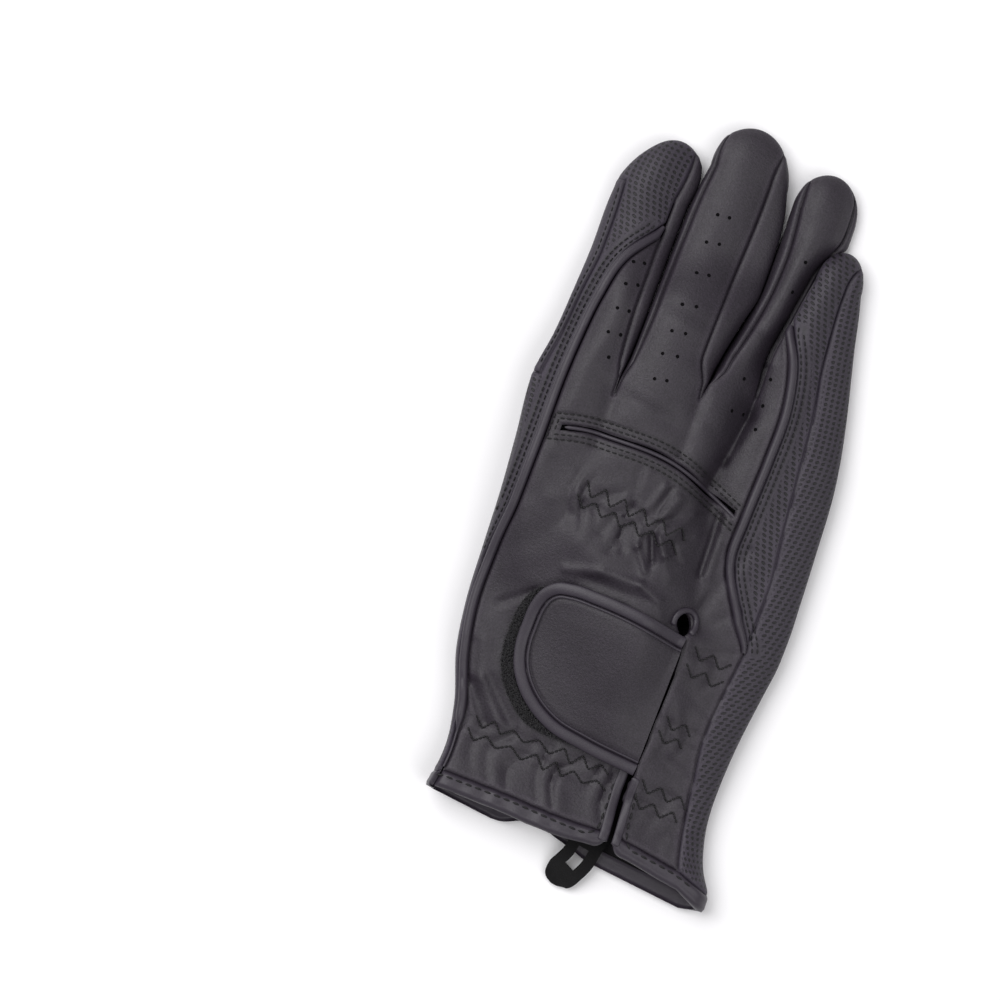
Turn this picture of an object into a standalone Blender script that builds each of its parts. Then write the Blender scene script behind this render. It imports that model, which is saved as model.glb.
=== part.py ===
"""A horse riding glove for the right hand, lying palm down with the thumb folded under the palm.

Frame: +Y runs to the fingertips, +X to the little finger, +Z up off the back of the hand. The glove rests
on z = 0. The leather is one lattice of rings: a body ring from the cuff to the crotches, four finger rings
and a thumb ring that grows out of an oval in the palm. Each panel of the glove is a patch of that lattice,
given its thickness along the lattice's own normals, so that neighbours meet in a mitre and never overlap.
Tables and the working are in millimetres; the meshes are made in metres.
"""

import math

import bmesh
import bpy
import numpy as np

MM = 0.001

# The middle of the glove's plan, which becomes the origin.
PLAN_CENTRE = (5.05, 4.51)

LEATHER = 1.2
OVERLAY_LEATHER = 1.5
BINDING_LEATHER = 2.0
BINDING_PROUD = 0.35
# How far each panel stops short of its seams, so that neighbours keep a gap.
SEAM_PULL = 0.2
PALM_PULL = 0.35
WALL_PULL = 0.4
STEEP_WALL_PULL = 0.95
PIPING_RADIUS = 1.15
PIPING_SLOT = 1.5
PIPING_RISE = 0.15
# The rows of the index and little finger at which their pipings end.
PIPING_END_ROWS = (8, 4)
# The little-side piping starts this share of its first step past the panel's end.
PIPING_START = 0.7
SIDE_PANEL_END = -29.0
# The y range in which each piping tapers to a plain seam towards the cuff.
THUMB_PIPING_TAPER = (-84, -78)
LITTLE_PIPING_TAPER = (-32, -28)
THIN_SEAM = 0.25
STEEPEST_SLANT = 2.0
# The outline's height as a share of the way from palm to back.
OUTLINE_SHARE = 0.47
# An outline that stands out this far past its seam is fully round.
FULL_CURVE = 1.5

# The wrist slit: where it starts, its half width, how much wider it is at the cuff, and its eyelet.
SLIT_TOP = -23.0
SLIT_HALF = 0.95
SLIT_FLARE = 0.3
EYELET_Y = -27.0
EYELET_HALF = 2.1
EYELET_LENGTH = 2.6

# How far the thumb holds the palm up, the slope beside it, along it and at its tip.
THUMB_LIFT = 12.2
LIFT_INSET = 3.0
LIFT_SLOPE = 15.0
LIFT_RUN = (-24.0, 6.0)
LIFT_END = (60.0, 84.0)
# The back follows the palm up by this share, over a wider area.
BACK_SHARE = 0.78
BACK_MARGIN = 4.0
# The arch across the back: its middle and half width.
ARCH_MIDDLE = 3.0
ARCH_HALF = 55.0
CUFF_RISE = 0.4
CUFF_RISE_Y = (92, 97)
PALM_FOLD_Y = (-24, -10)

# Lines of the thumb side against y: outline, overlay seam, piping, and the seam on the palm.
THUMB_SIDE_COLUMNS = ("y", "left", "over", "pipe", "palm_l")
THUMB_SIDE = (
    (-112, -37.0, -36.2, -34.6, -12.5),
    (-103, -35.5, -34.7, -33.4, -12.5),
    (-90, -34.2, -33.4, -32.0, -15.0),
    (-75, -36.6, -35.7, -34.0, -20.5),
    (-60, -41.8, -41.0, -39.0, -27.5),
    (-45, -44.4, -43.6, -42.0, -34.5),
    (-25, -45.8, -44.9, -42.5, -41.5),
    (-8, -46.8, -45.2, -41.5, -44.6),
    (10, -48.5, -46.5, -41.5, -43.5),
    (30, -50.6, -48.4, -41.8, -36.0),
    (45, -48.8, -46.6, -41.3, -34.8),
    (60, -48.0, -45.5, -40.0, -35.3),
    (75, -47.5, -44.1, -36.5, -36.2),
    (88, -47.8, -44.4, -27.4, -37.8),
    (101, -47.2, -45.4, -20.0, -41.0),
)

# Lines that run down the back from the crotches, and down the palm.
MIDDLE_COLUMNS = ("y", "c1", "c2", "slit", "p1", "p2", "p3")
MIDDLE = (
    (-112, -13.0, 6.0, 24.9, -3.0, 6.0, 21.0),
    (-98, -13.0, 6.0, 24.7, -4.0, 5.5, 20.0),
    (-80, -14.0, 6.0, 23.5, -7.0, 4.0, 18.0),
    (-60, -17.0, 5.5, 23.85, -12.0, 3.0, 18.0),
    (-34, -20.0, 5.0, 23.8, -15.4, 1.2, 18.4),
    (-27, -20.5, 4.9, 22.6, -16.0, 0.9, 18.5),
    (-10, -22.5, 4.0, 20.5, -19.0, 0.0, 19.0),
    (10, -24.0, 2.6, 17.2, -23.0, 0.5, 21.0),
    (33, -24.3, 1.6, 17.2, -24.4, 2.5, 23.6),
    (48, -24.3, 1.5, 18.0, -24.5, 4.0, 25.4),
)

# Lines of the little-finger side: piping, side seam, outline, and the palm's inner line.
LITTLE_SIDE_COLUMNS = ("y", "lpipe", "side", "right", "palm_r")
LITTLE_SIDE = (
    (-112, 52.0, 52.0, 60.3, 53.0),
    (-104, 49.5, 49.5, 60.0, 51.0),
    (-97, 47.5, 47.5, 56.0, 47.0),
    (-88, 45.5, 45.5, 53.0, 44.5),
    (-72, 42.8, 42.8, 51.4, 43.0),
    (-58, 41.0, 41.0, 51.9, 43.0),
    (-40, 42.2, 42.2, 53.8, 45.5),
    (-29, 43.3, 43.3, 55.1, 47.0),
    (-20, 37.2, 43.6, 55.2, 47.5),
    (-8, 29.6, 43.6, 54.6, 47.0),
    (8, 28.3, 41.8, 53.6, 46.0),
    (30, 28.7, 39.4, 51.8, 45.0),
    (50, 28.0, 37.1, 47.9, 43.0),
    (62, 25.0, 34.7, 44.8, 41.5),
    (73, 19.3, 33.4, 41.9, 39.0),
    (84, 14.0, 32.5, 39.3, 37.0),
    (92, 10.0, 32.4, 37.1, 35.0),
)

# The two sides of each gap between fingers: seam on the back, outline, and seam on the palm.
GAP_COLUMNS = ("y", "seam_a", "out_a", "palm_a", "seam_b", "out_b", "palm_b")
INDEX_MIDDLE = (
    (33, -24.3, -24.4, -24.6, -24.3, -24.3, -24.4),
    (45, -26.2, -24.0, -26.5, -22.6, -23.2, -22.4),
    (60, -27.5, -23.8, -27.3, -21.6, -23.0, -20.6),
    (75, -27.8, -23.9, -27.5, -21.4, -22.9, -20.2),
    (90, -28.0, -23.9, -27.5, -21.3, -22.9, -20.0),
    (101, -28.0, -23.9, -27.8, -21.0, -22.7, -19.6),
    (113, -28.0, -23.9, -28.0, -20.0, -21.5, -18.8),
)
MIDDLE_RING = (
    (41.5, 1.5, 1.5, 4.0, 1.5, 1.5, 4.0),
    (47, -1.0, 2.0, 3.8, 4.7, 2.9, 5.0),
    (58, -2.4, 3.3, 4.1, 6.8, 4.2, 5.4),
    (68, -2.3, 5.2, 4.6, 9.1, 6.0, 6.2),
    (80, -2.0, 7.5, 5.0, 10.9, 8.4, 6.9),
    (92, -1.5, 7.4, 4.4, 11.4, 8.3, 7.4),
    (104, -1.3, 6.4, 3.0, 10.4, 7.4, 8.0),
    (113, -1.4, 4.0, 1.0, 9.0, 7.0, 8.4),
)
RING_LITTLE = (
    (46, 18.0, 21.6, 25.0, 18.0, 21.6, 25.0),
    (55, 16.8, 20.6, 24.4, 17.8, 21.6, 25.4),
    (64, 17.0, 20.6, 24.4, 18.0, 21.6, 25.4),
    (74, 18.5, 21.4, 24.4, 19.5, 22.4, 25.4),
    (84, 19.9, 22.2, 23.8, 20.9, 23.2, 24.8),
    (91, 21.2, 22.6, 22.8, 22.3, 23.8, 24.2),
    (97, 23.4, 24.2, 24.0, 24.0, 25.6, 25.6),
    (103, 25.8, 28.4, 26.4, 25.0, 28.0, 29.0),
    (110, 26.4, 28.2, 26.2, 25.0, 28.0, 29.0),
)

# The rows of the body at each line: cuff edge, binding's inner edge, wrist, top of the slit, the two lips
# of the knuckle vent, and the crotches. Palm lines follow after the back's.
ROW_COLUMNS = ("row", "cells", "left", "over", "pipe", "c1", "c2", "slit_l", "slit_r", "lpipe", "side",
               "right", "palm_r", "p3", "p2", "p1", "palm_l")
BODY_ROWS = (
    ("cuff", 0, -103, -102.5, -101.9, -102, -102.8, -101.6, -101.2, -105.4, -105.4, -109.6, -111, -108.6,
     -107.4, -106, -105),
    ("hem", 1, -98.4, -98, -97.4, -97.7, -98.4, -97.4, -96.6, -99.8, -99.8, -103.8, -105.5, -103.4, -102.2,
     -101, -100.2),
    ("wrist", 3, -80, -80, -80, -80, -80, -79, -79, -80, -80, -80, -80, -80, -80, -80, -80),
    ("strap", 7, -30, -30, -30, -27, -25, -23, -23, -29, -29, -30, -30, -30, -30, -30, -30),
    ("vent_low", 6, 14, 14.2, 15.3, 18.9, 18.2, 13.2, 13.2, 8.2, 5.5, 3, 3, 10, 13, 14, 14),
    ("vent_high", 1, 16.2, 16.4, 17.3, 20.7, 20.1, 14.9, 14.9, 10, 7.5, 5, 5, 12, 16, 16.5, 16.2),
    ("crotch", 3, 31, 31.2, 32, 33, 41.5, 48, 48, 47, 45, 42, 42, 44, 46, 36, 31),
)

# Each finger: where its rounded tip starts, the tip's length, how far the tip leans, rows to that start.
FINGER_COLUMNS = ("name", "tip_start", "tip_length", "lean", "rows")
FINGERS = (
    ("index", 97.5, 18.0, 1.5, 9),
    ("middle", 112, 15.8, -1.6, 10),
    ("ring", 109, 13.6, -0.6, 9),
    ("little", 90, 11.2, 1.4, 7),
)
TIP_ROWS = 3
TIP_MIDDLE = 4.6
# A finger's seams leave the crotch over this length, and are this share of the way out after the first bit.
CROTCH_BLEND = 12.0
CROTCH_FIRST = 2.0
CROTCH_SHARE = 0.35

# Heights of the back above the lifted palm, the arch across the hand and the bulge along each finger.
HEIGHT_COLUMNS = ("y", "height", "arch", "bulge")
HEIGHTS = (
    (-112, 12.5, 4.0, 0.0),
    (-98, 11.5, 3.6, 0.0),
    (-82, 8.8, 2.6, 0.0),
    (-65, 9.8, 2.8, 0.0),
    (-30, 10.0, 2.6, 0.0),
    (0, 10.2, 2.0, 0.4),
    (25, 10.4, 1.2, 1.8),
    (45, 9.8, 0.6, 3.2),
    (75, 8.8, 0.2, 3.6),
    (100, 8.2, 0.0, 3.4),
    (130, 7.8, 0.0, 3.0),
)

# The thumb under the palm: its middle, half width and thickness against y.
THUMB_COLUMNS = ("y", "middle", "half", "thick")
THUMB = (
    (-60, -5.0, 8.0, 7.0),
    (-40, -9.0, 17.0, 10.0),
    (-20, -13.5, 20.0, 11.0),
    (0, -16.5, 18.8, 11.2),
    (20, -17.2, 17.2, 11.2),
    (40, -17.2, 15.0, 10.6),
    (50, -17.0, 12.6, 10.0),
)
# The way across the oval in which the palm climbs onto the thumb.
THUMB_RISE = (0.55, 0.83)
THUMB_TIP = 63.0
THUMB_TIP_HEIGHT = 4.8
THUMB_SEAMS = (150.0, 325.0)
THUMB_FIRST_SECTION = 16.0
THUMB_ROWS = 4
THUMB_BRIDGE_ROWS = 3
# The thumb's section is a rounded oblong: 1 would be an ellipse. Its underside is cut flat by the surface.
THUMB_SQUARENESS = 0.8
THUMB_FLATTENING = 1.06
THUMB_SAG = 0.75
THUMB_CLEARANCE = 0.8

# The oval in the palm that the thumb grows from: reach from its middle in each direction.
HOLE_MIDDLE = (-13.0, -24.0)
HOLE_COLUMNS = ("angle", "reach")
HOLE = (
    (0, 24.5),
    (45, 24.0),
    (90, 24.0),
    (130, 26.0),
    (152, 29.0),
    (182, 18.5),
    (230, 17.5),
    (268, 24.5),
    (297, 29.5),
    (320, 30.0),
    (340, 26.5),
)
HOLE_RINGS = 2

# Long dents (negative) and ridges (positive) on the back, from one end to the other.
FOLD_COLUMNS = ("x0", "y0", "x1", "y1", "width", "depth")
BACK_FOLDS = (
    (17.4, 44, 14.5, 18, 3.4, -1.5),
    (14.5, 18, 20, 4, 4.0, -1.2),
    (-24.3, 34, -24, 18, 3.0, -1.0),
    (1.5, 42, 2, 24, 3.0, -1.0),
    (-18, -14, 6, -22, 5.0, 1.0),
    (8, -4, 20, -20, 4.0, 0.9),
)
PALM_FOLDS = (
    (13, 24, 27, 8, 4.5, 3.6),
    (27, 8, 31, -28, 4.5, 4.2),
    (31, -28, 26, -60, 4.5, 3.0),
    (-24, -70, -10, -100, 3.5, 2.4),
    (4, -72, 10, -98, 3.5, 2.2),
)

# The wrist strap: the y of its lower and upper edge against x, and the width of its binding.
STRAP_COLUMNS = ("x", "low", "high")
STRAP = (
    (-25.6, -46.5, -41.5),
    (-25.0, -52.5, -36.0),
    (-23.2, -58.0, -31.6),
    (-20.0, -63.0, -28.6),
    (-14.0, -68.6, -27.0),
    (-6.0, -72.8, -26.8),
    (6.0, -75.1, -27.4),
    (24.0, -76.8, -30.2),
)
STRAP_END = 23.9
STRAP_EDGE_POINTS = 26
STRAP_CELLS = 5
# The strap's free end follows the back no further right than this much short of the slit.
STRAP_HOLD = 1.8
STRAP_GAP = 0.3
STRAP_BINDING_WIDTH = 3.9
STRAP_LIFT = 1.95
STRAP_THICK = 1.4
STRAP_BINDING_THICK = 2.0
STRAP_BINDING_LIFT = 1.75
LOOP_LIFT = 0.6
LOOP_THICK = 0.75
# The pad shows past the strap's round end: how far, the x range over which that fades, and its right end.
LOOP_SHIFT = (-3.0, -2.6)
LOOP_TAPER = (-12.0, 3.0)
LOOP_END = 3.0

# The raised edge of the back on the little-finger side of the slit: its height, middle and width.
RAISED_EDGE = 3.4
RAISED_X = 25.0
RAISED_WIDTH = 7.0
RAISED_START = (22, 32)
RAISED_FADE = (-90, -78)
RAISED_AT_CUFF = 0.35

# The pull tab: middle line, half width and height against its run from inside the cuff to its round end.
TAB_COLUMNS = ("x", "y", "half", "z")
TAB = (
    (19.5, -94.0, 5.0, 3.4),
    (19.0, -99.0, 5.0, 3.4),
    (18.4, -103.5, 5.0, 3.4),
    (17.6, -107.6, 5.0, 3.3),
    (16.0, -111.2, 5.0, 2.6),
    (14.4, -114.2, 4.9, 1.4),
    (13.2, -116.3, 4.2, 0.6),
    (12.6, -118.0, 2.4, 0.3),
)
TAB_THICK = 1.4
# The tab's lines across as shares of its half width, and the rows that its slot takes out.
TAB_LINES = (-1.0, -0.45, 0.45, 1.0)
TAB_SLOT_ROWS = (2, 3)
TAB_SLOT_COLUMN = 1

# Colour (sRGB), roughness: charcoal synthetic leather with a slight purple tint.
FINISHES = {
    "smooth_leather": ("#443F46", 0.55),
    "mesh_leather": ("#3F3A41", 0.6),
    "piping_leather": ("#4B464D", 0.5),
    "loop_fabric": ("#161418", 0.95),
    "felt": ("#0F0E10", 0.95),
}


def column(columns, rows, name):
    """One named column of a table as an array."""
    place = columns.index(name)
    return np.array([row[place] for row in rows], float)


def curve_through(xs, ys):
    """A smooth function through the points: cubic pieces with slopes taken from the neighbours' chords."""
    step = np.diff(xs)
    slope = np.diff(ys) / step
    tangent = np.empty(len(xs))
    tangent[0] = slope[0]
    tangent[-1] = slope[-1]
    tangent[1:-1] = (slope[:-1] * step[1:] + slope[1:] * step[:-1]) / (step[:-1] + step[1:])
    flat = np.zeros(len(xs), bool)
    flat[1:-1] = slope[:-1] * slope[1:] <= 0
    tangent[flat] = 0

    def value(x):
        x = np.clip(np.asarray(x, float), xs[0], xs[-1])
        i = np.clip(np.searchsorted(xs, x) - 1, 0, len(step) - 1)
        t = (x - xs[i]) / step[i]
        a = ys[i] + t * t * (3 - 2 * t) * (ys[i + 1] - ys[i])
        b = step[i] * t * (1 - t) * ((1 - t) * tangent[i] - t * tangent[i + 1])
        return a + b

    return value


def table_curves(columns, rows):
    """A smooth function of the first column for each other column of a table."""
    first = column(columns, rows, columns[0])
    return {name: curve_through(first, column(columns, rows, name)) for name in columns[1:]}


def ramp(x, low, high):
    """0 below low, 1 above high, smooth between."""
    t = np.clip((np.asarray(x, float) - low) / (high - low), 0, 1)
    return t * t * (3 - 2 * t)


LINE = {}
for columns, rows in ((THUMB_SIDE_COLUMNS, THUMB_SIDE), (MIDDLE_COLUMNS, MIDDLE),
                      (LITTLE_SIDE_COLUMNS, LITTLE_SIDE)):
    LINE.update(table_curves(columns, rows))
GAP = {
    "index_middle": table_curves(GAP_COLUMNS, INDEX_MIDDLE),
    "middle_ring": table_curves(GAP_COLUMNS, MIDDLE_RING),
    "ring_little": table_curves(GAP_COLUMNS, RING_LITTLE),
}
HEIGHT = table_curves(HEIGHT_COLUMNS, HEIGHTS)
THUMB_AT = table_curves(THUMB_COLUMNS, THUMB)


def slot_across(name, y):
    """Half width along X of the slot that a piping fills, wider where the piping runs aslant."""
    slant = LINE[name](np.asarray(y) + 0.5) - LINE[name](np.asarray(y) - 0.5)
    widened = np.sqrt(1 + np.minimum(slant * slant, STEEPEST_SLANT))
    if name == "pipe":
        return (THIN_SEAM + (PIPING_SLOT - THIN_SEAM) * ramp(y, *THUMB_PIPING_TAPER)) * widened
    return PIPING_SLOT * ramp(y, *LITTLE_PIPING_TAPER) * widened


def slit_half(y):
    """Half width of the wrist slit: closed at its top, a teardrop eyelet, then a narrow slit."""
    y = np.asarray(y, float)
    eyelet = EYELET_HALF * np.exp(-((y - EYELET_Y) / EYELET_LENGTH) ** 2)
    narrow = SLIT_HALF + SLIT_FLARE * ramp(-y, 80, 98)
    opened = narrow * ramp(-y, -SLIT_TOP, -SLIT_TOP + 3)
    return np.where(y >= SLIT_TOP - 0.01, 0.0, np.maximum(eyelet, opened))


def line_x(name, y):
    """The x of a named line of the lattice at y."""
    if name == "pipe_out":
        return np.minimum(LINE["pipe"](y) - slot_across("pipe", y), index_seam(y))
    if name == "pipe_in":
        return np.minimum(LINE["pipe"](y) + slot_across("pipe", y), index_seam(y))
    if name == "slit_l":
        return LINE["slit"](y) - slit_half(y)
    if name == "slit_r":
        return LINE["slit"](y) + slit_half(y)
    if name in ("lpipe_in", "lpipe_out"):
        half = slot_across("lpipe", y) * (-1 if name == "lpipe_in" else 1)
        x = np.clip(LINE["lpipe"](y) + half, little_seam(y), LINE["side"](y))
        return np.where(np.asarray(y) <= SIDE_PANEL_END, LINE["side"](y), x)
    return LINE[name](y)


def index_seam(y):
    """The seam on the back along the inner side of the index finger, and c1 below the crotch."""
    seam = GAP["index_middle"]["seam_a"](y)
    return np.where(np.asarray(y) > 33, seam, LINE["c1"](y))


def little_seam(y):
    """The seam on the back along the inner side of the little finger, and the slit's line below it."""
    seam = GAP["ring_little"]["seam_b"](y)
    return np.where(np.asarray(y) > 48, seam, LINE["slit"](y) + slit_half(y))


def folds(x, y, table):
    """The sum of a table of folds: each falls off as a bell from the segment between its two ends."""
    total = np.zeros(np.broadcast(x, y).shape)
    for row in table:
        fold = dict(zip(FOLD_COLUMNS, row))
        along = np.array([fold["x1"] - fold["x0"], fold["y1"] - fold["y0"]], float)
        length = math.hypot(*along)
        along /= length
        from_x, from_y = x - fold["x0"], y - fold["y0"]
        t = np.clip(from_x * along[0] + from_y * along[1], 0, length)
        away = np.hypot(from_x - t * along[0], from_y - t * along[1])
        total = total + fold["depth"] * np.exp(-(away / fold["width"]) ** 2)
    return total


def lift(x, y, margin=0.0):
    """How far the thumb holds the palm off the surface: full over the thumb, a slope round it."""
    half = THUMB_AT["half"](y) - LIFT_INSET + margin
    side = 1 - ramp(np.abs(x - THUMB_AT["middle"](y)) - half, 0, LIFT_SLOPE + margin)
    rise = (x - HOLE_MIDDLE[0]) * THUMB_RISE[0] + (y - HOLE_MIDDLE[1]) * THUMB_RISE[1]
    run = ramp(rise, LIFT_RUN[0] - 2 * margin, LIFT_RUN[1] + margin)
    return THUMB_LIFT * side * run * (1 - ramp(y, LIFT_END[0], LIFT_END[1] + margin))


def palm_z(x, y):
    """Height of the glove's underside."""
    cuff = CUFF_RISE * ramp(-y, *CUFF_RISE_Y)
    return np.maximum(lift(x, y) + folds(x, y, PALM_FOLDS) * ramp(-y, *PALM_FOLD_Y) + cuff, 0)


def back_z(x, y):
    """Height of the glove's back before the bulge along each finger."""
    arch = HEIGHT["arch"](y) * (1 - ((x - ARCH_MIDDLE) / ARCH_HALF) ** 2)
    raised = RAISED_EDGE * np.exp(-((x - RAISED_X) / RAISED_WIDTH) ** 2) * (x > LINE["slit"](y))
    along = RAISED_AT_CUFF + (1 - RAISED_AT_CUFF) * ramp(y, *RAISED_FADE)
    raised = raised * ramp(-y, *RAISED_START) * along
    follow = BACK_SHARE * lift(x, y, BACK_MARGIN)
    return HEIGHT["height"](y) + arch + follow + folds(x, y, BACK_FOLDS) + raised


def bulge(x, y):
    """The bulge along each finger and its run-out on the back: a parabola between the finger's two seams."""
    first = LINE["over"](y)
    bounds = [first, LINE["c1"](y), LINE["c2"](y), LINE["slit"](y), LINE["side"](y)]
    total = np.zeros(np.broadcast(x, y).shape)
    for low, high in zip(bounds[:-1], bounds[1:]):
        s = np.clip((x - low) / (high - low) * 2 - 1, -1, 1)
        total = total + (1 - s * s)
    return HEIGHT["bulge"](y) * total


def spread(first, last, cells):
    """Points in equal steps from first up to but not with last, both arrays of points."""
    steps = np.arange(cells) / cells
    return first[..., None, :] + (last - first)[..., None, :] * steps[:, None]


def quarter(outer, inner, cells, rising, side):
    """A quarter of an ellipse between an outline point and an inner line.

    It leaves the outline upright and reaches the inner line level. rising gives outline to inner. Where the
    inner line lies beyond the outline, as on a finger that leans, it is a straight slope instead. side is 1
    on the right of the glove or finger and -1 on the left.
    """
    even = np.arange(cells) / cells
    steps = even * math.pi / 2
    curved = np.clip(side * (outer[..., 0] - inner[..., 0]) / FULL_CURVE, 0, 1)[..., None]
    across = even + curved * ((1 - np.cos(steps)) if rising else np.sin(steps)) - curved * even
    up = even + curved * (np.sin(steps) if rising else (1 - np.cos(steps))) - curved * even
    start, end = (outer, inner) if rising else (inner, outer)
    plan = start[..., None, :2] + (end - start)[..., None, :2] * across[..., None]
    z = start[..., None, 2] + (end - start)[..., None, 2] * up
    return np.concatenate([plan, z[..., None]], axis=-1)


def body_y(name):
    """The y of a line at every row of the body."""
    source = {"pipe_out": "pipe", "pipe_in": "pipe", "lpipe_in": "lpipe", "lpipe_out": "lpipe"}
    place = ROW_COLUMNS.index(source.get(name, name))
    values = [float(BODY_ROWS[0][place])]
    for before, after in zip(BODY_ROWS[:-1], BODY_ROWS[1:]):
        cells = after[1]
        steps = (np.arange(cells) + 1) / cells
        values.extend(before[place] + (after[place] - before[place]) * steps)
    return np.array(values)


def row_number(name):
    """The lattice row at which a named row of the body lies."""
    total = 0
    for row in BODY_ROWS:
        total += row[1]
        if row[0] == name:
            return total
    raise ValueError(name)


BACK_LINES = ("over", "pipe_out", "pipe_in", "c1", "c2", "slit_l", "slit_r", "lpipe_in", "lpipe_out", "side")
BACK_CELLS = (3, 1, 3, 4, 3, 1, 3, 1, 3)
BACK_TAGS = ("index_cap", None, "back_panel", "back_panel", "back_panel", None, "back_panel", None,
             "little_side_panel")
PALM_LINES = ("palm_r", "p3", "p2", "p1", "palm_l")
PALM_CELLS = (3, 3, 4, 3)
EDGE_CELLS = 2
WALL_CELLS = 4


def body_rings():
    """Every ring of the body: from the left outline over the back and round the right under the palm."""
    points = {}
    for name in BACK_LINES + PALM_LINES + ("left", "right"):
        y = body_y(name)
        x = line_x(name, y)
        points[name] = np.stack([x, y], axis=1)
    for name in BACK_LINES:
        plan = points[name]
        z = back_z(plan[:, 0], plan[:, 1]) + bulge(plan[:, 0], plan[:, 1])
        points[name] = np.column_stack([plan, z])
    for name in PALM_LINES:
        plan = points[name]
        points[name] = np.column_stack([plan, palm_z(plan[:, 0], plan[:, 1])])
    for name, top, low in (("left", "over", "palm_l"), ("right", "side", "palm_r")):
        z = OUTLINE_SHARE * points[top][:, 2] + (1 - OUTLINE_SHARE) * points[low][:, 2]
        points[name] = np.column_stack([points[name], z])
    parts = [quarter(points["left"], points["over"], EDGE_CELLS, True, -1)]
    for first, last, cells in zip(BACK_LINES[:-1], BACK_LINES[1:], BACK_CELLS):
        part = spread(points[first], points[last], cells)
        if cells > 1:
            part[..., 2] = back_z(part[..., 0], part[..., 1]) + bulge(part[..., 0], part[..., 1])
        parts.append(part)
    parts.append(quarter(points["right"], points["side"], EDGE_CELLS, False, 1))
    parts.append(quarter(points["right"], points["palm_r"], EDGE_CELLS, True, 1))
    for first, last, cells in zip(PALM_LINES[:-1], PALM_LINES[1:], PALM_CELLS):
        part = spread(points[first], points[last], cells)
        part[..., 2] = palm_z(part[..., 0], part[..., 1])
        parts.append(part)
    parts.append(quarter(points["left"], points["palm_l"], EDGE_CELLS, False, -1))
    return np.concatenate(parts, axis=1)


def body_tags():
    """The panel of each column of the body."""
    tags = ["index_cap"] * EDGE_CELLS
    for tag, cells in zip(BACK_TAGS, BACK_CELLS):
        tags += [tag] * cells
    tags += ["palm_panel"] * (2 * EDGE_CELLS + sum(PALM_CELLS))
    tags += ["index_cap"] * EDGE_CELLS
    return tags


def back_start(name):
    """The ring column at which a line of the back lies."""
    return EDGE_CELLS + sum(BACK_CELLS[:BACK_LINES.index(name)])


def palm_start(name):
    """The ring column at which a line of the palm lies."""
    return 3 * EDGE_CELLS + sum(BACK_CELLS) + sum(PALM_CELLS[:PALM_LINES.index(name)])


# Each finger: its lines on the back, its panels there, its gap on either side and its lines on the palm.
FINGER_PLAN = {
    "index": {
        "lines": ("over", "pipe_out", "pipe_in", "seam"), "cells": (3, 1, 3),
        "tags": ("index_cap", "index_gap", "back_panel"),
        "left": None, "right": "index_middle", "palm": ("p1", "palm_l"), "palm_cells": 3,
        "crotch": ("over", "c1"),
    },
    "middle": {
        "lines": ("seam", "seam"), "cells": (4,), "tags": ("back_panel",),
        "left": "index_middle", "right": "middle_ring", "palm": ("p2", "p1"), "palm_cells": 4,
        "crotch": ("c1", "c2"),
    },
    "ring": {
        "lines": ("seam", "seam"), "cells": (3,), "tags": ("back_panel",),
        "left": "middle_ring", "right": "ring_little", "palm": ("p3", "p2"), "palm_cells": 3,
        "crotch": ("c2", "slit_l"),
    },
    "little": {
        "lines": ("seam", "lpipe_in", "lpipe_out", "side"), "cells": (3, 1, 3),
        "tags": ("back_panel", "little_gap", "little_side_panel"),
        "left": "ring_little", "right": None, "palm": ("palm_r", "p3"), "palm_cells": 3,
        "crotch": ("slit_r", "side"),
    },
}
GAP_CROTCH = {"index_middle": ("c1", "p1"), "middle_ring": ("c2", "p2"), "ring_little": ("slit_l", "p3")}
# The ring finger's back dips where the little finger laps over it.
RING_DIP = 2.2
LITTLE_RISE = 0.9


def crotch_point(name):
    """The plan point of a line at the crotch row."""
    y = body_y(name)[-1]
    return np.array([float(line_x(name, y)), y])


def finger_line(y, gap, side, kind, crotch):
    """Plan points of a line beside a gap: from its crotch point it eases into its own line."""
    x = GAP[gap][kind + ("_a" if side == "right" else "_b")](y)
    ease = ramp(y - crotch[1], 0, CROTCH_BLEND)
    ease = np.where(y - crotch[1] > CROTCH_FIRST, np.maximum(ease, CROTCH_SHARE), ease)
    return np.stack([crotch[0] + (x - crotch[0]) * ease, y], axis=1)


def seam_offset(gap, side, ease):
    """The change of height of the back at a finger's seam, where the little finger laps the ring finger."""
    if gap != "ring_little":
        return 0 * ease
    return (-RING_DIP if side == "right" else LITTLE_RISE) * ease


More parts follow.
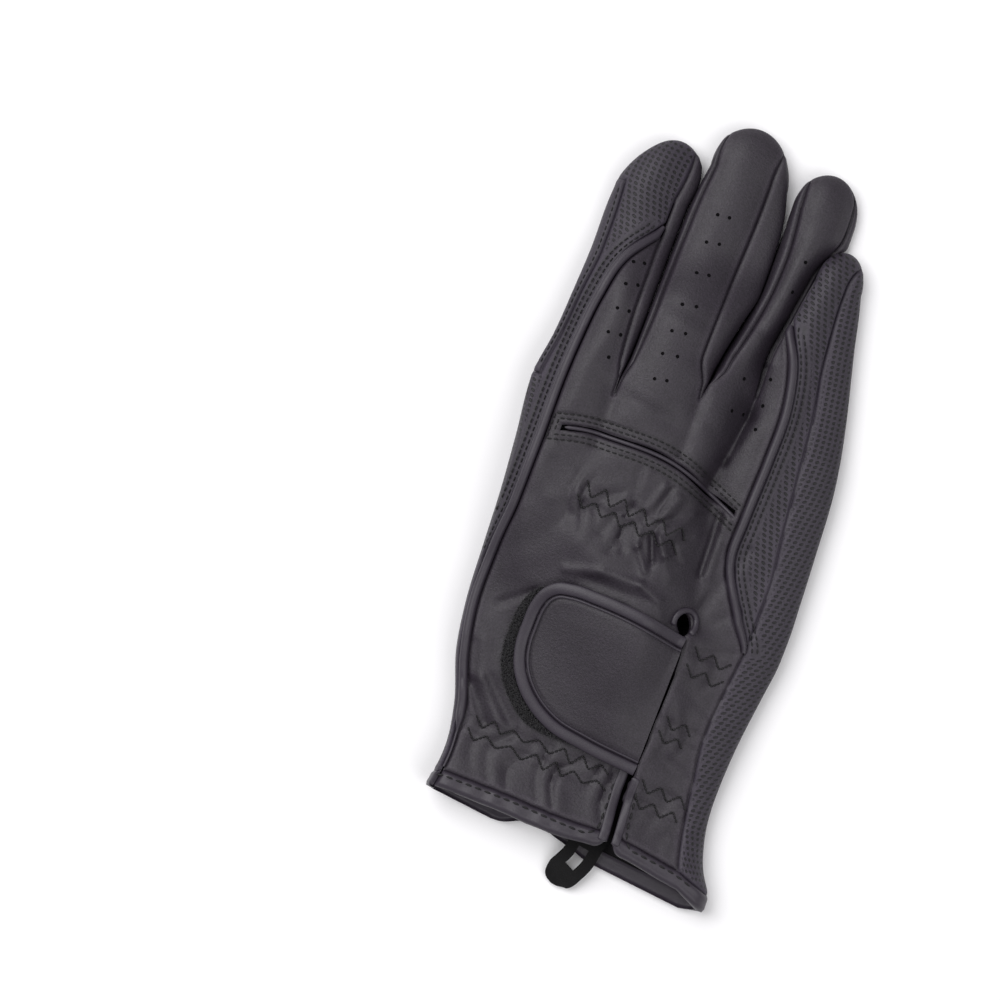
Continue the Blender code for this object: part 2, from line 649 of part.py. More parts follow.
def finger_rings(finger):
    """The rings of one finger, from the crotch row to its tip, and the panel of each column."""
    plan = FINGER_PLAN[finger["name"]]
    v = np.arange(finger["rows"] + 1) / finger["rows"]

    def rows_from(start):
        return start + (finger["tip_start"] - start) * v

    def walls(gap, side):
        """Seam, outline and palm seam of one side of the finger, each an array of points."""
        if gap is None:
            names = ("over", "left", "palm_l") if side == "left" else ("side", "right", "palm_r")
            made = []
            for name in names:
                y = rows_from(body_y(name)[-1])
                made.append(np.stack([line_x(name, y), y], axis=1))
            return made
        back, palm = (crotch_point(name) for name in GAP_CROTCH[gap])
        middle = (back + palm) / 2
        made = []
        for kind, crotch in (("seam", back), ("out", middle), ("palm", palm)):
            made.append(finger_line(rows_from(crotch[1]), gap, side, kind, crotch))
        return made

    left_seam, left_out, left_palm = walls(plan["left"], "left")
    right_seam, right_out, right_palm = walls(plan["right"], "right")

    def top(points):
        """Height of the finger's back: the back's height and a parabola between the two seams."""
        low = np.interp(points[..., 1], left_seam[:, 1], left_seam[:, 0])
        high = np.interp(points[..., 1], right_seam[:, 1], right_seam[:, 0])
        x, y = points[..., 0], points[..., 1]
        s = np.clip((x - low) / np.maximum(high - low, 0.01) * 2 - 1, -1, 1)
        start = crotch_point(plan["crotch"][0])[1], crotch_point(plan["crotch"][1])[1]
        ease = ramp(y, max(start), max(start) + CROTCH_BLEND)
        tilt = seam_offset(plan["left"], "left", ease) * (1 - s) / 2
        tilt = tilt + seam_offset(plan["right"], "right", ease) * (1 + s) / 2
        body = bulge(x, y)
        own = HEIGHT["bulge"](y) * (1 - s * s)
        return back_z(x, y) + body + (own - body) * ease + tilt

    def raised(points):
        return np.column_stack([points, top(points)])

    def grounded(points):
        return np.column_stack([points, palm_z(points[:, 0], points[:, 1])])

    ends = {"left": raised(left_seam), "right": raised(right_seam)}
    low = {"left": grounded(left_palm), "right": grounded(right_palm)}
    outline = {}
    for side, points in (("left", left_out), ("right", right_out)):
        z = OUTLINE_SHARE * ends[side][:, 2] + (1 - OUTLINE_SHARE) * low[side][:, 2]
        outline[side] = np.column_stack([points, z])

    half = WALL_CELLS // 2
    parts = [quarter(outline["left"], low["left"], half, False, -1)]
    parts.append(quarter(outline["left"], ends["left"], half, True, -1))
    edges = [ends["left"]]
    for name in plan["lines"][1:-1]:
        y = rows_from(body_y(name)[-1])
        x = np.clip(line_x(name, y), np.interp(y, left_seam[:, 1], left_seam[:, 0]),
                    np.interp(y, right_seam[:, 1], right_seam[:, 0]))
        edges.append(raised(np.stack([x, y], axis=1)))
    edges.append(ends["right"])
    for first, last, cells in zip(edges[:-1], edges[1:], plan["cells"]):
        part = spread(first, last, cells)
        part[..., 2] = top(part)
        parts.append(part)
    parts.append(quarter(outline["right"], ends["right"], half, False, 1))
    parts.append(quarter(outline["right"], low["right"], half, True, 1))
    palm = spread(low["right"], low["left"], plan["palm_cells"])
    palm[..., 2] = palm_z(palm[..., 0], palm[..., 1])
    parts.append(palm)
    rings = np.concatenate(parts, axis=1)
    for gap, first, side in ((plan["left"], 0, 1), (plan["right"], WALL_CELLS + sum(plan["cells"]), -1)):
        if gap is not None:
            straighten_crotch(rings, gap, first, side)
    rings = np.concatenate([rings, tip_rings(rings[-1], plan, finger)], axis=0)
    return rings, finger_tags(plan)


def straighten_crotch(rings, gap, first, side):
    """Makes the wall's crotch edge the straight line that both neighbouring fingers share."""
    back, palm = (crotch_point(name) for name in GAP_CROTCH[gap])
    top = np.array([*back, float(back_z(*back) + bulge(*back))])
    low = np.array([*palm, float(palm_z(*palm))])
    steps = np.arange(WALL_CELLS + 1) / WALL_CELLS
    start, end = (low, top) if side == 1 else (top, low)
    rings[0, first:first + WALL_CELLS + 1] = start + (end - start) * steps[:, None]


def tip_rings(last, plan, finger):
    """The rounded tip: the last ring is carried over a half disc, and its height falls as a quarter circle.

    A point at s across and q along the square goes to s sqrt(1 - q q / 2) and q sqrt(1 - s s / 2).
    """
    low, high = last[:, 0].min(), last[:, 0].max()
    centre, half = (low + high) / 2, (high - low) / 2
    cells = sum(plan["cells"])
    corner = np.concatenate([
        np.full(WALL_CELLS, -1.0), np.linspace(-1, 1, cells + 1)[:-1], np.full(WALL_CELLS, 1.0),
        np.linspace(1, -1, plan["palm_cells"] + 1)[:-1],
    ])
    if len(plan["cells"]) > 1:
        xs = last[WALL_CELLS:WALL_CELLS + cells, 0]
        corner[WALL_CELLS:WALL_CELLS + cells] = (xs - xs[0]) / (last[WALL_CELLS + cells, 0] - xs[0]) * 2 - 1
    s = (last[:, 0] - centre) / half
    made = []
    for row in range(1, TIP_ROWS + 1):
        q = math.sin(math.pi / 2 * row / TIP_ROWS)
        toward = s + (corner - s) * q * q
        x = centre + finger["lean"] * q + half * toward * math.sqrt(1 - q * q / 2)
        y = last[:, 1] + finger["tip_length"] * q * np.sqrt(1 - toward * toward / 2)
        z = TIP_MIDDLE + (last[:, 2] - TIP_MIDDLE) * math.sqrt(max(0, 1 - q * q))
        made.append(np.column_stack([x, y, z]))
    return np.array(made)


def finger_tags(plan):
    """The panel of each column of a finger's rings."""
    left = "fourchette_" + plan["left"] if plan["left"] else "index_overlay"
    right = "fourchette_" + plan["right"] if plan["right"] else "palm_panel"
    tags = [left] * WALL_CELLS
    for tag, cells in zip(plan["tags"], plan["cells"]):
        tags += [None if tag.endswith("_gap") else tag] * cells
    return tags + [right] * WALL_CELLS + ["palm_panel"] * plan["palm_cells"]


class Lattice:
    """Gathers the faces of every ring and welds the points that rings share."""

    def __init__(self):
        self.points = []
        self.faces = []
        self.tags = []
        self.known = {}

    def point(self, place):
        key = tuple(np.round(np.asarray(place) * 50).astype(int))
        for dx in (0, -1, 1):
            for dy in (0, -1, 1):
                for dz in (0, -1, 1):
                    near = (key[0] + dx, key[1] + dy, key[2] + dz)
                    if near in self.known:
                        return self.known[near]
        self.known[key] = len(self.points)
        self.points.append(tuple(float(c) for c in place))
        return self.known[key]

    def face(self, corners, tag):
        kept = []
        for corner in corners:
            if corner not in kept:
                kept.append(corner)
        if len(kept) > 2:
            self.faces.append(tuple(kept))
            self.tags.append(tag)

    def rings(self, rings, tags, skip=None):
        """Faces between each pair of rings. tags has the panel of each column, or of each cell by row."""
        numbers = [[self.point(place) for place in ring] for ring in rings]
        count = len(rings[0])
        for row in range(len(rings) - 1):
            for col in range(count):
                if skip and skip(row, col):
                    continue
                after = (col + 1) % count
                corners = (numbers[row][col], numbers[row][after], numbers[row + 1][after],
                           numbers[row + 1][col])
                tag = tags[row][col] if isinstance(tags[0], list) else tags[col]
                self.face(corners, tag)


HOLE_ROWS = (row_number("hem") + 4, row_number("strap") + 5)


def in_hole(row, col):
    """Whether a body face lies in the window of the palm that the thumb's collar replaces."""
    return HOLE_ROWS[0] <= row < HOLE_ROWS[1] and palm_start("p3") <= col < palm_start("palm_l")


def window_loop(rings):
    """The edge of that window, once round."""
    first, last = palm_start("p3"), palm_start("palm_l")
    low, high = HOLE_ROWS
    loop = [rings[low, col] for col in range(first, last)]
    loop += [rings[row, last] for row in range(low, high)]
    loop += [rings[high, col] for col in range(last, first, -1)]
    loop += [rings[row, first] for row in range(high, low, -1)]
    return np.array(loop)


def thumb_rings(loop):
    """The collar in the palm from the window's edge to the oval, and the thumb from the oval to its tip."""
    angle = np.arctan2(loop[:, 1] - HOLE_MIDDLE[1], loop[:, 0] - HOLE_MIDDLE[0]) % (2 * math.pi)
    degrees = column(HOLE_COLUMNS, HOLE, "angle")
    reach = column(HOLE_COLUMNS, HOLE, "reach")
    closed = curve_through(np.append(degrees, 360.0), np.append(reach, reach[0]))(np.degrees(angle))
    rim = np.column_stack([HOLE_MIDDLE[0] + closed * np.cos(angle), HOLE_MIDDLE[1] + closed * np.sin(angle)])
    collar = []
    for ring in range(HOLE_RINGS + 1):
        t = ring / HOLE_RINGS
        plan = loop[:, :2] + (rim - loop[:, :2]) * t
        z = palm_z(plan[:, 0], plan[:, 1])
        collar.append(np.column_stack([plan, z]))
    collar[0] = loop

    def section(y):
        half = THUMB_AT["half"](y)
        thick = THUMB_AT["thick"](y)
        across = np.sign(np.cos(angle)) * np.abs(np.cos(angle)) ** THUMB_SQUARENESS
        up = np.sign(np.sin(angle)) * np.abs(np.sin(angle)) ** THUMB_SQUARENESS
        x = THUMB_AT["middle"](y) + half * across
        z = np.maximum(thick / 2 * (1 + THUMB_FLATTENING * up), 0.0)
        return np.column_stack([x, np.full(len(x), float(y)), np.minimum(z, thick)])

    first = section(THUMB_FIRST_SECTION)
    tube = [collar[-1]]
    for step in range(1, THUMB_BRIDGE_ROWS):
        t = step / THUMB_BRIDGE_ROWS
        ring = collar[-1] + (first - collar[-1]) * t
        lower = np.clip(-np.sin(angle), 0, 1)
        ring[:, 2] *= 1 - lower * THUMB_SAG * math.sqrt(math.sin(math.pi * t))
        ceiling = palm_z(ring[:, 0], ring[:, 1]) - THUMB_CLEARANCE
        ring[:, 2] = np.minimum(ring[:, 2], np.maximum(ceiling, 0))
        tube.append(ring)
    straight = THUMB[-1][0]
    for step in range(THUMB_ROWS + 1):
        tube.append(section(THUMB_FIRST_SECTION + (straight - THUMB_FIRST_SECTION) * step / THUMB_ROWS))
    last = tube[-1]
    centre = np.array([float(THUMB_AT["middle"](straight)), straight, THUMB_TIP_HEIGHT])
    for row in range(1, TIP_ROWS + 1):
        turn = math.pi / 2 * row / TIP_ROWS
        ring = centre + (last - centre) * max(0.0, round(math.cos(turn), 9))
        ring[:, 1] = straight + (THUMB_TIP - straight) * math.sin(turn)
        tube.append(ring)
    return np.array(collar), np.array(tube), np.degrees(angle)


def thumb_tags(degrees):
    """Thumb columns: the smooth half faces the surface and wraps the outer side, the mesh half the palm."""
    tags = []
    for first, last in zip(degrees, np.roll(degrees, -1)):
        middle = (first + last) / 2 if abs(first - last) < 180 else 0.0
        tags.append("thumb_front" if middle < THUMB_SEAMS[0] or middle > THUMB_SEAMS[1] else "thumb_back")
    return tags


def make_lattice():
    """All rings of the glove in one lattice."""
    lattice = Lattice()
    body = body_rings()
    columns = body_tags()
    low_lip = row_number("vent_low")
    vent = range(back_start("pipe_in") + 1, back_start("slit_r") + 2)
    slit = back_start("slit_l")
    tags = []
    for row in range(len(body) - 1):
        here = list(columns)
        if row == 0:
            here = ["cuff_binding"] * len(columns)
            here[slit] = None
        if row == low_lip:
            for place in vent:
                here[place] = None
        tags.append(here)
    lattice.rings(body, tags, skip=in_hole)
    for sizes in FINGERS:
        finger = dict(zip(FINGER_COLUMNS, sizes))
        rings, finger_columns = finger_rings(finger)
        by_row = [list(finger_columns) for _ in range(len(rings) - 1)]
        if finger["name"] == "index":
            half = WALL_CELLS // 2
            for row in range(finger["rows"], len(by_row)):
                by_row[row][:half] = ["palm_panel"] * half
                by_row[row][half:WALL_CELLS] = ["index_cap"] * half
        lattice.rings(rings, by_row)
    collar, tube, degrees = thumb_rings(window_loop(body))
    lattice.rings(collar, ["palm_panel"] * len(degrees))
    lattice.rings(tube, thumb_tags(degrees))
    return lattice, body


def normalised(vectors):
    """Vectors at length one."""
    length = np.linalg.norm(vectors, axis=-1, keepdims=True)
    return vectors / np.maximum(length, 1e-12)


def unit_normals(points, faces):
    """The unit normal of each face: the cross product of a quad's diagonals, or of a triangle's sides."""
    normals = []
    for face in faces:
        a, b, c = points[face[0]], points[face[1]], points[face[2]]
        if len(face) == 4:
            normals.append(np.cross(c - a, points[face[3]] - b))
        else:
            normals.append(np.cross(b - a, c - a))
    return normalised(np.array(normals))


def lattice_normals(points, faces, tags):
    """One normal for each point: the sum of the unit normals that the panels meeting there have."""
    by_panel = {}
    for face, normal, tag in zip(faces, unit_normals(points, faces), tags):
        for place, number in enumerate(face):
            before = points[face[place - 1]] - points[number]
            after = points[face[(place + 1) % len(face)]] - points[number]
            cosine = before @ after / max(np.linalg.norm(before) * np.linalg.norm(after), 1e-9)
            angle = math.acos(max(-1.0, min(1.0, cosine)))
            key = (number, tag)
            by_panel[key] = by_panel.get(key, 0) + angle * normal
    total = np.zeros(points.shape)
    for (number, _), normal in by_panel.items():
        total[number] += normalised(normal)
    return normalised(total)


def open_edges(faces):
    """The edges that only one face has, in that face's direction."""
    edges = {(face[i - 1], face[i]) for face in faces for i in range(len(face))}
    return sorted(edge for edge in edges if (edge[1], edge[0]) not in edges)


def panel_mesh(points, normals, faces, thick, proud, pull):
    """One panel as a closed solid: pulled back from its seams, then given its thickness inward."""
    numbers = sorted({number for face in faces for number in face})
    index = {number: place for place, number in enumerate(numbers)}
    count = len(numbers)
    outer = points[numbers].copy()
    normal = normals[numbers]
    corners = [[index[number] for number in face] for face in faces]
    rim = open_edges(corners)
    inward = np.zeros((count, 3))
    for face in faces:
        middle = points[list(face)].mean(axis=0)
        for number in face:
            inward[index[number]] += middle - points[number]
    inward -= (inward * normal).sum(axis=1, keepdims=True) * normal
    inward = normalised(inward)
    on_rim = sorted({place for edge in rim for place in edge})
    outer[on_rim] += pull * inward[on_rim]
    inner = outer - (thick - proud) * normal
    outer = outer + proud * normal
    outer[:, 2] = np.maximum(outer[:, 2], 0)
    solid = [list(face) for face in corners]
    solid += [[place + count for place in reversed(face)] for face in corners]
    solid += [[b, a, a + count, b + count] for a, b in rim]
    return np.concatenate([outer, inner]), solid


def leather(name, finish):
    """A Principled material with one of the finishes of the glove."""
    colour, roughness = FINISHES[finish]
    material = bpy.data.materials.new(name)
    material.use_nodes = True
    shader = material.node_tree.nodes["Principled BSDF"]
    channels = [int(colour[i:i + 2], 16) / 255 for i in (1, 3, 5)]
    linear = [c / 12.92 if c <= 0.04045 else ((c + 0.055) / 1.055) ** 2.4 for c in channels]
    shader.inputs["Base Color"].default_value = (*linear, 1.0)
    shader.inputs["Roughness"].default_value = roughness
    shader.inputs["Metallic"].default_value = 0.0
    return material


def add_object(name, points, faces, finish, collection):
    """A mesh object from points in millimetres, smooth shaded, with its own material."""
    mesh = bpy.data.meshes.new(name)
    placed = (np.asarray(points) - (*PLAN_CENTRE, 0)) * MM
    mesh.from_pydata(placed.tolist(), [], faces)
    work = bmesh.new()
    work.from_mesh(mesh)
    bmesh.ops.triangulate(work, faces=work.faces[:])
    work.to_mesh(mesh)
    work.free()
    mesh.shade_smooth()
    mesh.set_sharp_from_angle(angle=math.radians(50))
    mesh.materials.append(leather(name, finish))
    made = bpy.data.objects.new(name, mesh)
    collection.objects.link(made)


# Each panel: its finish, its thickness, how far it stands proud, how far it is pulled back from its seams.
PANELS = {
    "back_panel": ("smooth_leather", LEATHER, 0.0, SEAM_PULL),
    "index_cap": ("mesh_leather", LEATHER, 0.0, SEAM_PULL),
    "little_side_panel": ("mesh_leather", LEATHER, 0.0, SEAM_PULL),
    "palm_panel": ("mesh_leather", LEATHER, 0.0, PALM_PULL),
    "index_overlay": ("mesh_leather", OVERLAY_LEATHER, 0.0, SEAM_PULL),
    "fourchette_index_middle": ("smooth_leather", LEATHER, 0.0, STEEP_WALL_PULL),
    "fourchette_middle_ring": ("smooth_leather", LEATHER, 0.0, WALL_PULL),
    "fourchette_ring_little": ("smooth_leather", LEATHER, 0.0, SEAM_PULL),
    "thumb_back": ("smooth_leather", LEATHER, 0.0, WALL_PULL),
    "thumb_front": ("mesh_leather", LEATHER, 0.0, SEAM_PULL),
    "cuff_binding": ("piping_leather", BINDING_LEATHER, BINDING_PROUD, SEAM_PULL),
}


def make_panels(lattice, collection):
    """Every leather panel of the glove."""
    points = np.array(lattice.points)
    normals = lattice_normals(points, lattice.faces, lattice.tags)
    for name, (finish, thick, proud, pull) in PANELS.items():
        faces = [face for face, tag in zip(lattice.faces, lattice.tags) if tag == name]
        solid, corners = panel_mesh(points, normals, faces, thick, proud, pull)
        add_object(name, solid, corners, finish, collection)


def piping(name, path, collection):
    """A round piping: a curve with a bevel along the middle of its slot."""
    curve = bpy.data.curves.new(name, "CURVE")
    curve.dimensions = "3D"
    curve.bevel_depth = PIPING_RADIUS * MM
    curve.bevel_resolution = 1
    curve.use_fill_caps = True
    spline = curve.splines.new("POLY")
    spline.points.add(len(path) - 1)
    placed = (np.asarray(path) - (*PLAN_CENTRE, 0)) * MM
    for point, place in zip(spline.points, placed):
        point.co = (*place, 1.0)
    curve.materials.append(leather(name, "piping_leather"))
    made = bpy.data.objects.new(name, curve)
    collection.objects.link(made)


def slot_path(body, sizes, out_line, in_line, first_row, last_row):
    """The middle of a piping's slot at each row of the body and then of the finger."""
    out, inside = back_start(out_line), back_start(in_line)
    middle = (body[first_row:, out] + body[first_row:, inside]) / 2
    finger = dict(zip(FINGER_COLUMNS, sizes))
    plan = FINGER_PLAN[finger["name"]]
    rings, _ = finger_rings(finger)
    place = WALL_CELLS + sum(plan["cells"][:1])
    beyond = (rings[1:last_row, place] + rings[1:last_row, place + 1]) / 2
    path = np.concatenate([middle, beyond])
    path[:, 2] += PIPING_RISE
    return path


def make_pipings(body, collection):
    """The piping of the thumb side and that of the little-finger side."""
    index_end, little_end = PIPING_END_ROWS
    path = slot_path(body, FINGERS[0], "pipe_out", "pipe_in", row_number("wrist"), index_end)
    piping("piping_thumb_side", path, collection)
    path = slot_path(body, FINGERS[3], "lpipe_in", "lpipe_out", row_number("strap"), little_end)
    path[0] += (path[1] - path[0]) * PIPING_START
    piping("piping_little_side", path, collection)


def strap_outline(count):
    """The strap's edge from its upper right corner, round the left end, to its lower right corner."""
    x = column(STRAP_COLUMNS, STRAP, "x")
    low = column(STRAP_COLUMNS, STRAP, "low")
    high = column(STRAP_COLUMNS, STRAP, "high")
    corners = np.concatenate([np.column_stack([x, high])[::-1], np.column_stack([x, low])])
    run = np.append(0, np.cumsum(np.linalg.norm(np.diff(corners, axis=0), axis=1)))
    even = np.linspace(0, run[-1], count)
    return np.column_stack([curve_through(run, corners[:, i])(even) for i in (0, 1)])


def offset_inward(path, distance):
    """The path moved towards the strap's middle, at right angles to itself."""
    along = normalised(np.gradient(path, axis=0))
    moved = path + distance * np.column_stack([-along[:, 1], along[:, 0]])
    moved[:, 0] = np.minimum(moved[:, 0], STRAP_END)
    moved[0, 0] = STRAP_END
    moved[-1, 0] = STRAP_END
    return moved


def on_back(plan, rise):
    """Points at a height above the back, left of the wrist slit."""
    x = np.minimum(plan[..., 0], STRAP_END - STRAP_HOLD)
    z = back_z(x, plan[..., 1]) + bulge(x, plan[..., 1]) + rise
    return np.concatenate([plan, z[..., None]], axis=-1)


def slab(grid, thick, left_out=()):
    """A closed solid over a grid of points, thick upwards. left_out are the cells of a hole in it."""
    rows, cols = grid.shape[:2]
    low = grid.reshape(-1, 3)
    count = len(low)
    faces = []
    for row in range(rows - 1):
        for col in range(cols - 1):
            if (row, col) not in left_out:
                first = row * cols + col
                faces.append([first, first + 1, first + cols + 1, first + cols])
    solid = [[place + count for place in face] for face in faces]
    solid += [list(reversed(face)) for face in faces]
    solid += [[a, b, b + count, a + count] for a, b in open_edges(faces)]
    return np.concatenate([low, low + (0, 0, thick)]), solid


def facing_up(grid):
    """The grid turned so that its faces look up."""
    diagonal = grid[1:, 1:] - grid[:-1, :-1]
    other = grid[1:, :-1] - grid[:-1, 1:]
    area = (diagonal[..., 0] * other[..., 1] - diagonal[..., 1] * other[..., 0]).sum()
    return grid if area > 0 else grid[:, ::-1]


def ruled(path, cells):
    """A grid between the two halves of a path that doubles back."""
    half = len(path) // 2
    upper, lower = path[:half], path[::-1][:half]
    steps = np.arange(cells + 1) / cells
    return upper[:, None, :] + (lower - upper)[:, None, :] * steps[:, None]


def make_closure(collection):
    """The wrist strap, its binding and the loop pad that it closes on."""
    edge = strap_outline(STRAP_EDGE_POINTS)
    inside = offset_inward(edge, STRAP_BINDING_WIDTH)
    ring = np.stack([edge, (edge + inside) / 2, inside], axis=1)
    points, faces = slab(facing_up(on_back(ring, STRAP_BINDING_LIFT)), STRAP_BINDING_THICK)
    add_object("strap_binding", points, faces, "piping_leather", collection)
    face = ruled(offset_inward(edge, STRAP_BINDING_WIDTH + STRAP_GAP), STRAP_CELLS)
    points, faces = slab(facing_up(on_back(face, STRAP_LIFT)), STRAP_THICK)
    add_object("wrist_strap", points, faces, "smooth_leather", collection)
    pad = edge[edge[:, 0] <= LOOP_END]
    pad = pad + np.outer(1 - ramp(pad[:, 0], *LOOP_TAPER), LOOP_SHIFT)
    points, faces = slab(facing_up(on_back(ruled(pad, STRAP_CELLS), LOOP_LIFT)), LOOP_THICK)
    add_object("loop_patch", points, faces, "loop_fabric", collection)


def make_pull_tab(collection):
    """The felt pull tab: a strip with a slot that comes out of the cuff and lies on the surface."""
    middle = np.column_stack([column(TAB_COLUMNS, TAB, name) for name in ("x", "y")])
    half = column(TAB_COLUMNS, TAB, "half")
    z = column(TAB_COLUMNS, TAB, "z")
    along = normalised(np.gradient(middle, axis=0))
    across = np.column_stack([along[:, 1], -along[:, 0]])
    steps = np.array(TAB_LINES)
    plan = middle[:, None, :] + across[:, None, :] * (half[:, None] * steps)[..., None]
    grid = np.concatenate([plan, np.repeat(z[:, None, None], len(steps), axis=1)], axis=-1)
    slot = [(row, TAB_SLOT_COLUMN) for row in TAB_SLOT_ROWS]
    points, faces = slab(facing_up(grid), TAB_THICK, slot)
    add_object("pull_tab", points, faces, "felt", collection)


def main():
    for old in list(bpy.data.objects):
        bpy.data.objects.remove(old, do_unlink=True)
    collection = bpy.data.collections.new("horse_riding_glove")
    bpy.context.scene.collection.children.link(collection)
    lattice, body = make_lattice()
    make_panels(lattice, collection)
    make_pipings(body, collection)
    make_closure(collection)
    make_pull_tab(collection)


main()
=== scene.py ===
"""Looks of a right-hand horse riding glove that lies palm down with its thumb folded under.

The leather is worked out again as rings of points, finer than in the model's frame: a body ring from the
cuff to the crotches, four finger rings and a thumb ring. Each panel is a patch of those rings with its seams
rolled in, its creases and gathers, and its thickness. Threads, pipings, the strap and the tab are laid on
the relief that results. Tables and the working are in millimetres; the meshes are made in metres.
"""

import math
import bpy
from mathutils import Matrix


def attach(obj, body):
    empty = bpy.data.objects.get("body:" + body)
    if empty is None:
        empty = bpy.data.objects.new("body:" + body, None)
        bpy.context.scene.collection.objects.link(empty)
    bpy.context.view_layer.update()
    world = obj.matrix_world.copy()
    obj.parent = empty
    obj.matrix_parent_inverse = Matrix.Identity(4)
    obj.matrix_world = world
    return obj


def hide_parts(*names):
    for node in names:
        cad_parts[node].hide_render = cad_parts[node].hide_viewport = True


bl_info = {
    "name": "Horse Riding Glove",
    "version": (1, 0, 0),
    "blender": (4, 5, 0),
    "location": "View3D > Sidebar > Glove",
    "description": "Builds the leather, threads and trims of a horse riding glove round its frame",
    "category": "Add Mesh",
}

import bmesh
import bpy
import numpy as np
from bpy.props import FloatProperty, FloatVectorProperty, PointerProperty

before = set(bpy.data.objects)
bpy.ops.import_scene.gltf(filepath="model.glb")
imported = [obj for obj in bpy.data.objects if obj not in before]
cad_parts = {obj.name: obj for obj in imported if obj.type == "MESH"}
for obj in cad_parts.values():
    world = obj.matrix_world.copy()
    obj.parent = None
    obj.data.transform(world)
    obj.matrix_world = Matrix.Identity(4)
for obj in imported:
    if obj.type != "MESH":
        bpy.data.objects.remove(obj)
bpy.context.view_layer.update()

MM = 0.001
# The frame's origin lies under this point of the tables' plan.
PLAN_CENTRE = (5.05, 4.51)
# How many fine cells stand for one cell of the frame's own panels, along and across the hand.
FINE_ROWS = 10
FINE = 8

# Wall thicknesses, then the seams: how far a panel's edge is pulled back, half the pipings' slots and their
# rise, where the side panel's piping ends, and the y ranges over which both pipings taper.
LEATHER = 1.2
OVERLAY_LEATHER = 1.5
BINDING_LEATHER = 2
SEAM_PULL = 0.03
PIPING_SLOT = 1.35
PIPING_RISE = 0.4
SIDE_PANEL_END = -29
THUMB_PIPING_TAPER = (-84, -78)
LITTLE_PIPING_TAPER = (-34, -20)
THIN_SEAM = 0.25
STEEPEST_SLANT = 2
# The outline's height between palm and back, and the overhang that makes its section a full ellipse.
OUTLINE_SHARE = 0.47
FULL_CURVE = 1.5

# The wrist slit and the eyelet at its top.
SLIT_TOP = -23
SLIT_HALF = 0.95
SLIT_FLARE = 0.3
EYELET_Y = -26.3
EYELET_HALF = 2.35
EYELET_LENGTH = 3.1
# The rounded corners of the cuff beside the slit: radius, and the y range over which they fade out.
CORNER_RADIUS = 4
CORNER_FADE = (-98, -82)

# How the folded thumb lifts the palm, and how the back follows it.
THUMB_LIFT = 12.2
LIFT_INSET = 3
LIFT_SLOPE = 15
LIFT_RUN = (-24, 6)
LIFT_END = (60, 84)
BACK_SHARE = 0.78
BACK_MARGIN = 4
ARCH_MIDDLE = 3
ARCH_HALF = 55
CUFF_RISE = 0.4
CUFF_RISE_Y = (92, 97)
PALM_FOLD_Y = (-24, -10)

# Lines of the thumb side against y: outline, overlay seam, piping, and the seam on the palm.
THUMB_SIDE_COLUMNS = ("y", "left", "over", "pipe", "palm_l")
THUMB_SIDE = (
    (-112, -37, -36.2, -34.6, -12.5),
    (-103, -35.5, -34.7, -33.4, -12.5),
    (-90, -34.2, -33.4, -32, -15),
    (-75, -36.6, -35.7, -34, -20.5),
    (-60, -41.8, -41, -39, -27.5),
    (-45, -44.4, -43.6, -42, -34.5),
    (-25, -45.8, -44.9, -42.5, -41.5),
    (-8, -46.8, -45.2, -41.5, -44.6),
    (10, -48.5, -46.5, -41.5, -43.5),
    (30, -50.6, -48.4, -41.8, -36),
    (45, -48.8, -46.6, -41.3, -34.8),
    (60, -48, -45.5, -40, -35.3),
    (75, -47.5, -44.1, -36.5, -36.2),
    (88, -47.8, -44.4, -27.4, -37.8),
    (101, -47.2, -45.4, -20, -41),
)

# Lines that run down the back from the crotches, and down the palm.
MIDDLE_COLUMNS = ("y", "c1", "c2", "slit", "p1", "p2", "p3")
MIDDLE = (
    (-112, -13, 6, 24.9, -3, 6, 21),
    (-98, -13, 6, 24.7, -4, 5.5, 20),
    (-80, -14, 6, 23.5, -7, 4, 18),
    (-60, -17, 5.5, 23.85, -12, 3, 18),
    (-34, -20, 5, 23.8, -15.4, 1.2, 18.4),
    (-27, -20.5, 4.9, 22.6, -16, 0.9, 18.5),
    (-10, -22.5, 4, 20.5, -19, 0, 19),
    (10, -24, 2.6, 17.2, -23, 0.5, 21),
    (33, -24.3, 1.6, 17.2, -24.4, 2.5, 23.6),
    (48, -24.3, 1.5, 18, -24.5, 4, 25.4),
)

# Lines of the little-finger side: piping, side seam, outline, and the palm's inner line.
LITTLE_SIDE_COLUMNS = ("y", "lpipe", "side", "right", "palm_r")
LITTLE_SIDE = (
    (-112, 52, 52, 60.3, 53),
    (-104, 49.5, 49.5, 60, 51),
    (-97, 47.5, 47.5, 56, 47),
    (-88, 45.5, 45.5, 53, 44.5),
    (-72, 42.8, 42.8, 51.4, 43),
    (-58, 41, 41, 51.9, 43),
    (-40, 42.2, 42.2, 53.8, 45.5),
    (-29, 43.3, 43.3, 55.1, 47),
    (-20, 37.2, 43.6, 55.2, 47.5),
    (-8, 29.6, 43.6, 54.6, 47),
    (8, 28.3, 41.8, 53.6, 46),
    (30, 28.7, 39.4, 51.8, 45),
    (50, 28, 37.1, 47.9, 43),
    (62, 25, 34.7, 44.8, 41.5),
    (73, 19.3, 33.4, 41.9, 39),
    (84, 14, 32.5, 39.3, 37),
    (92, 10, 32.4, 37.1, 35),
)

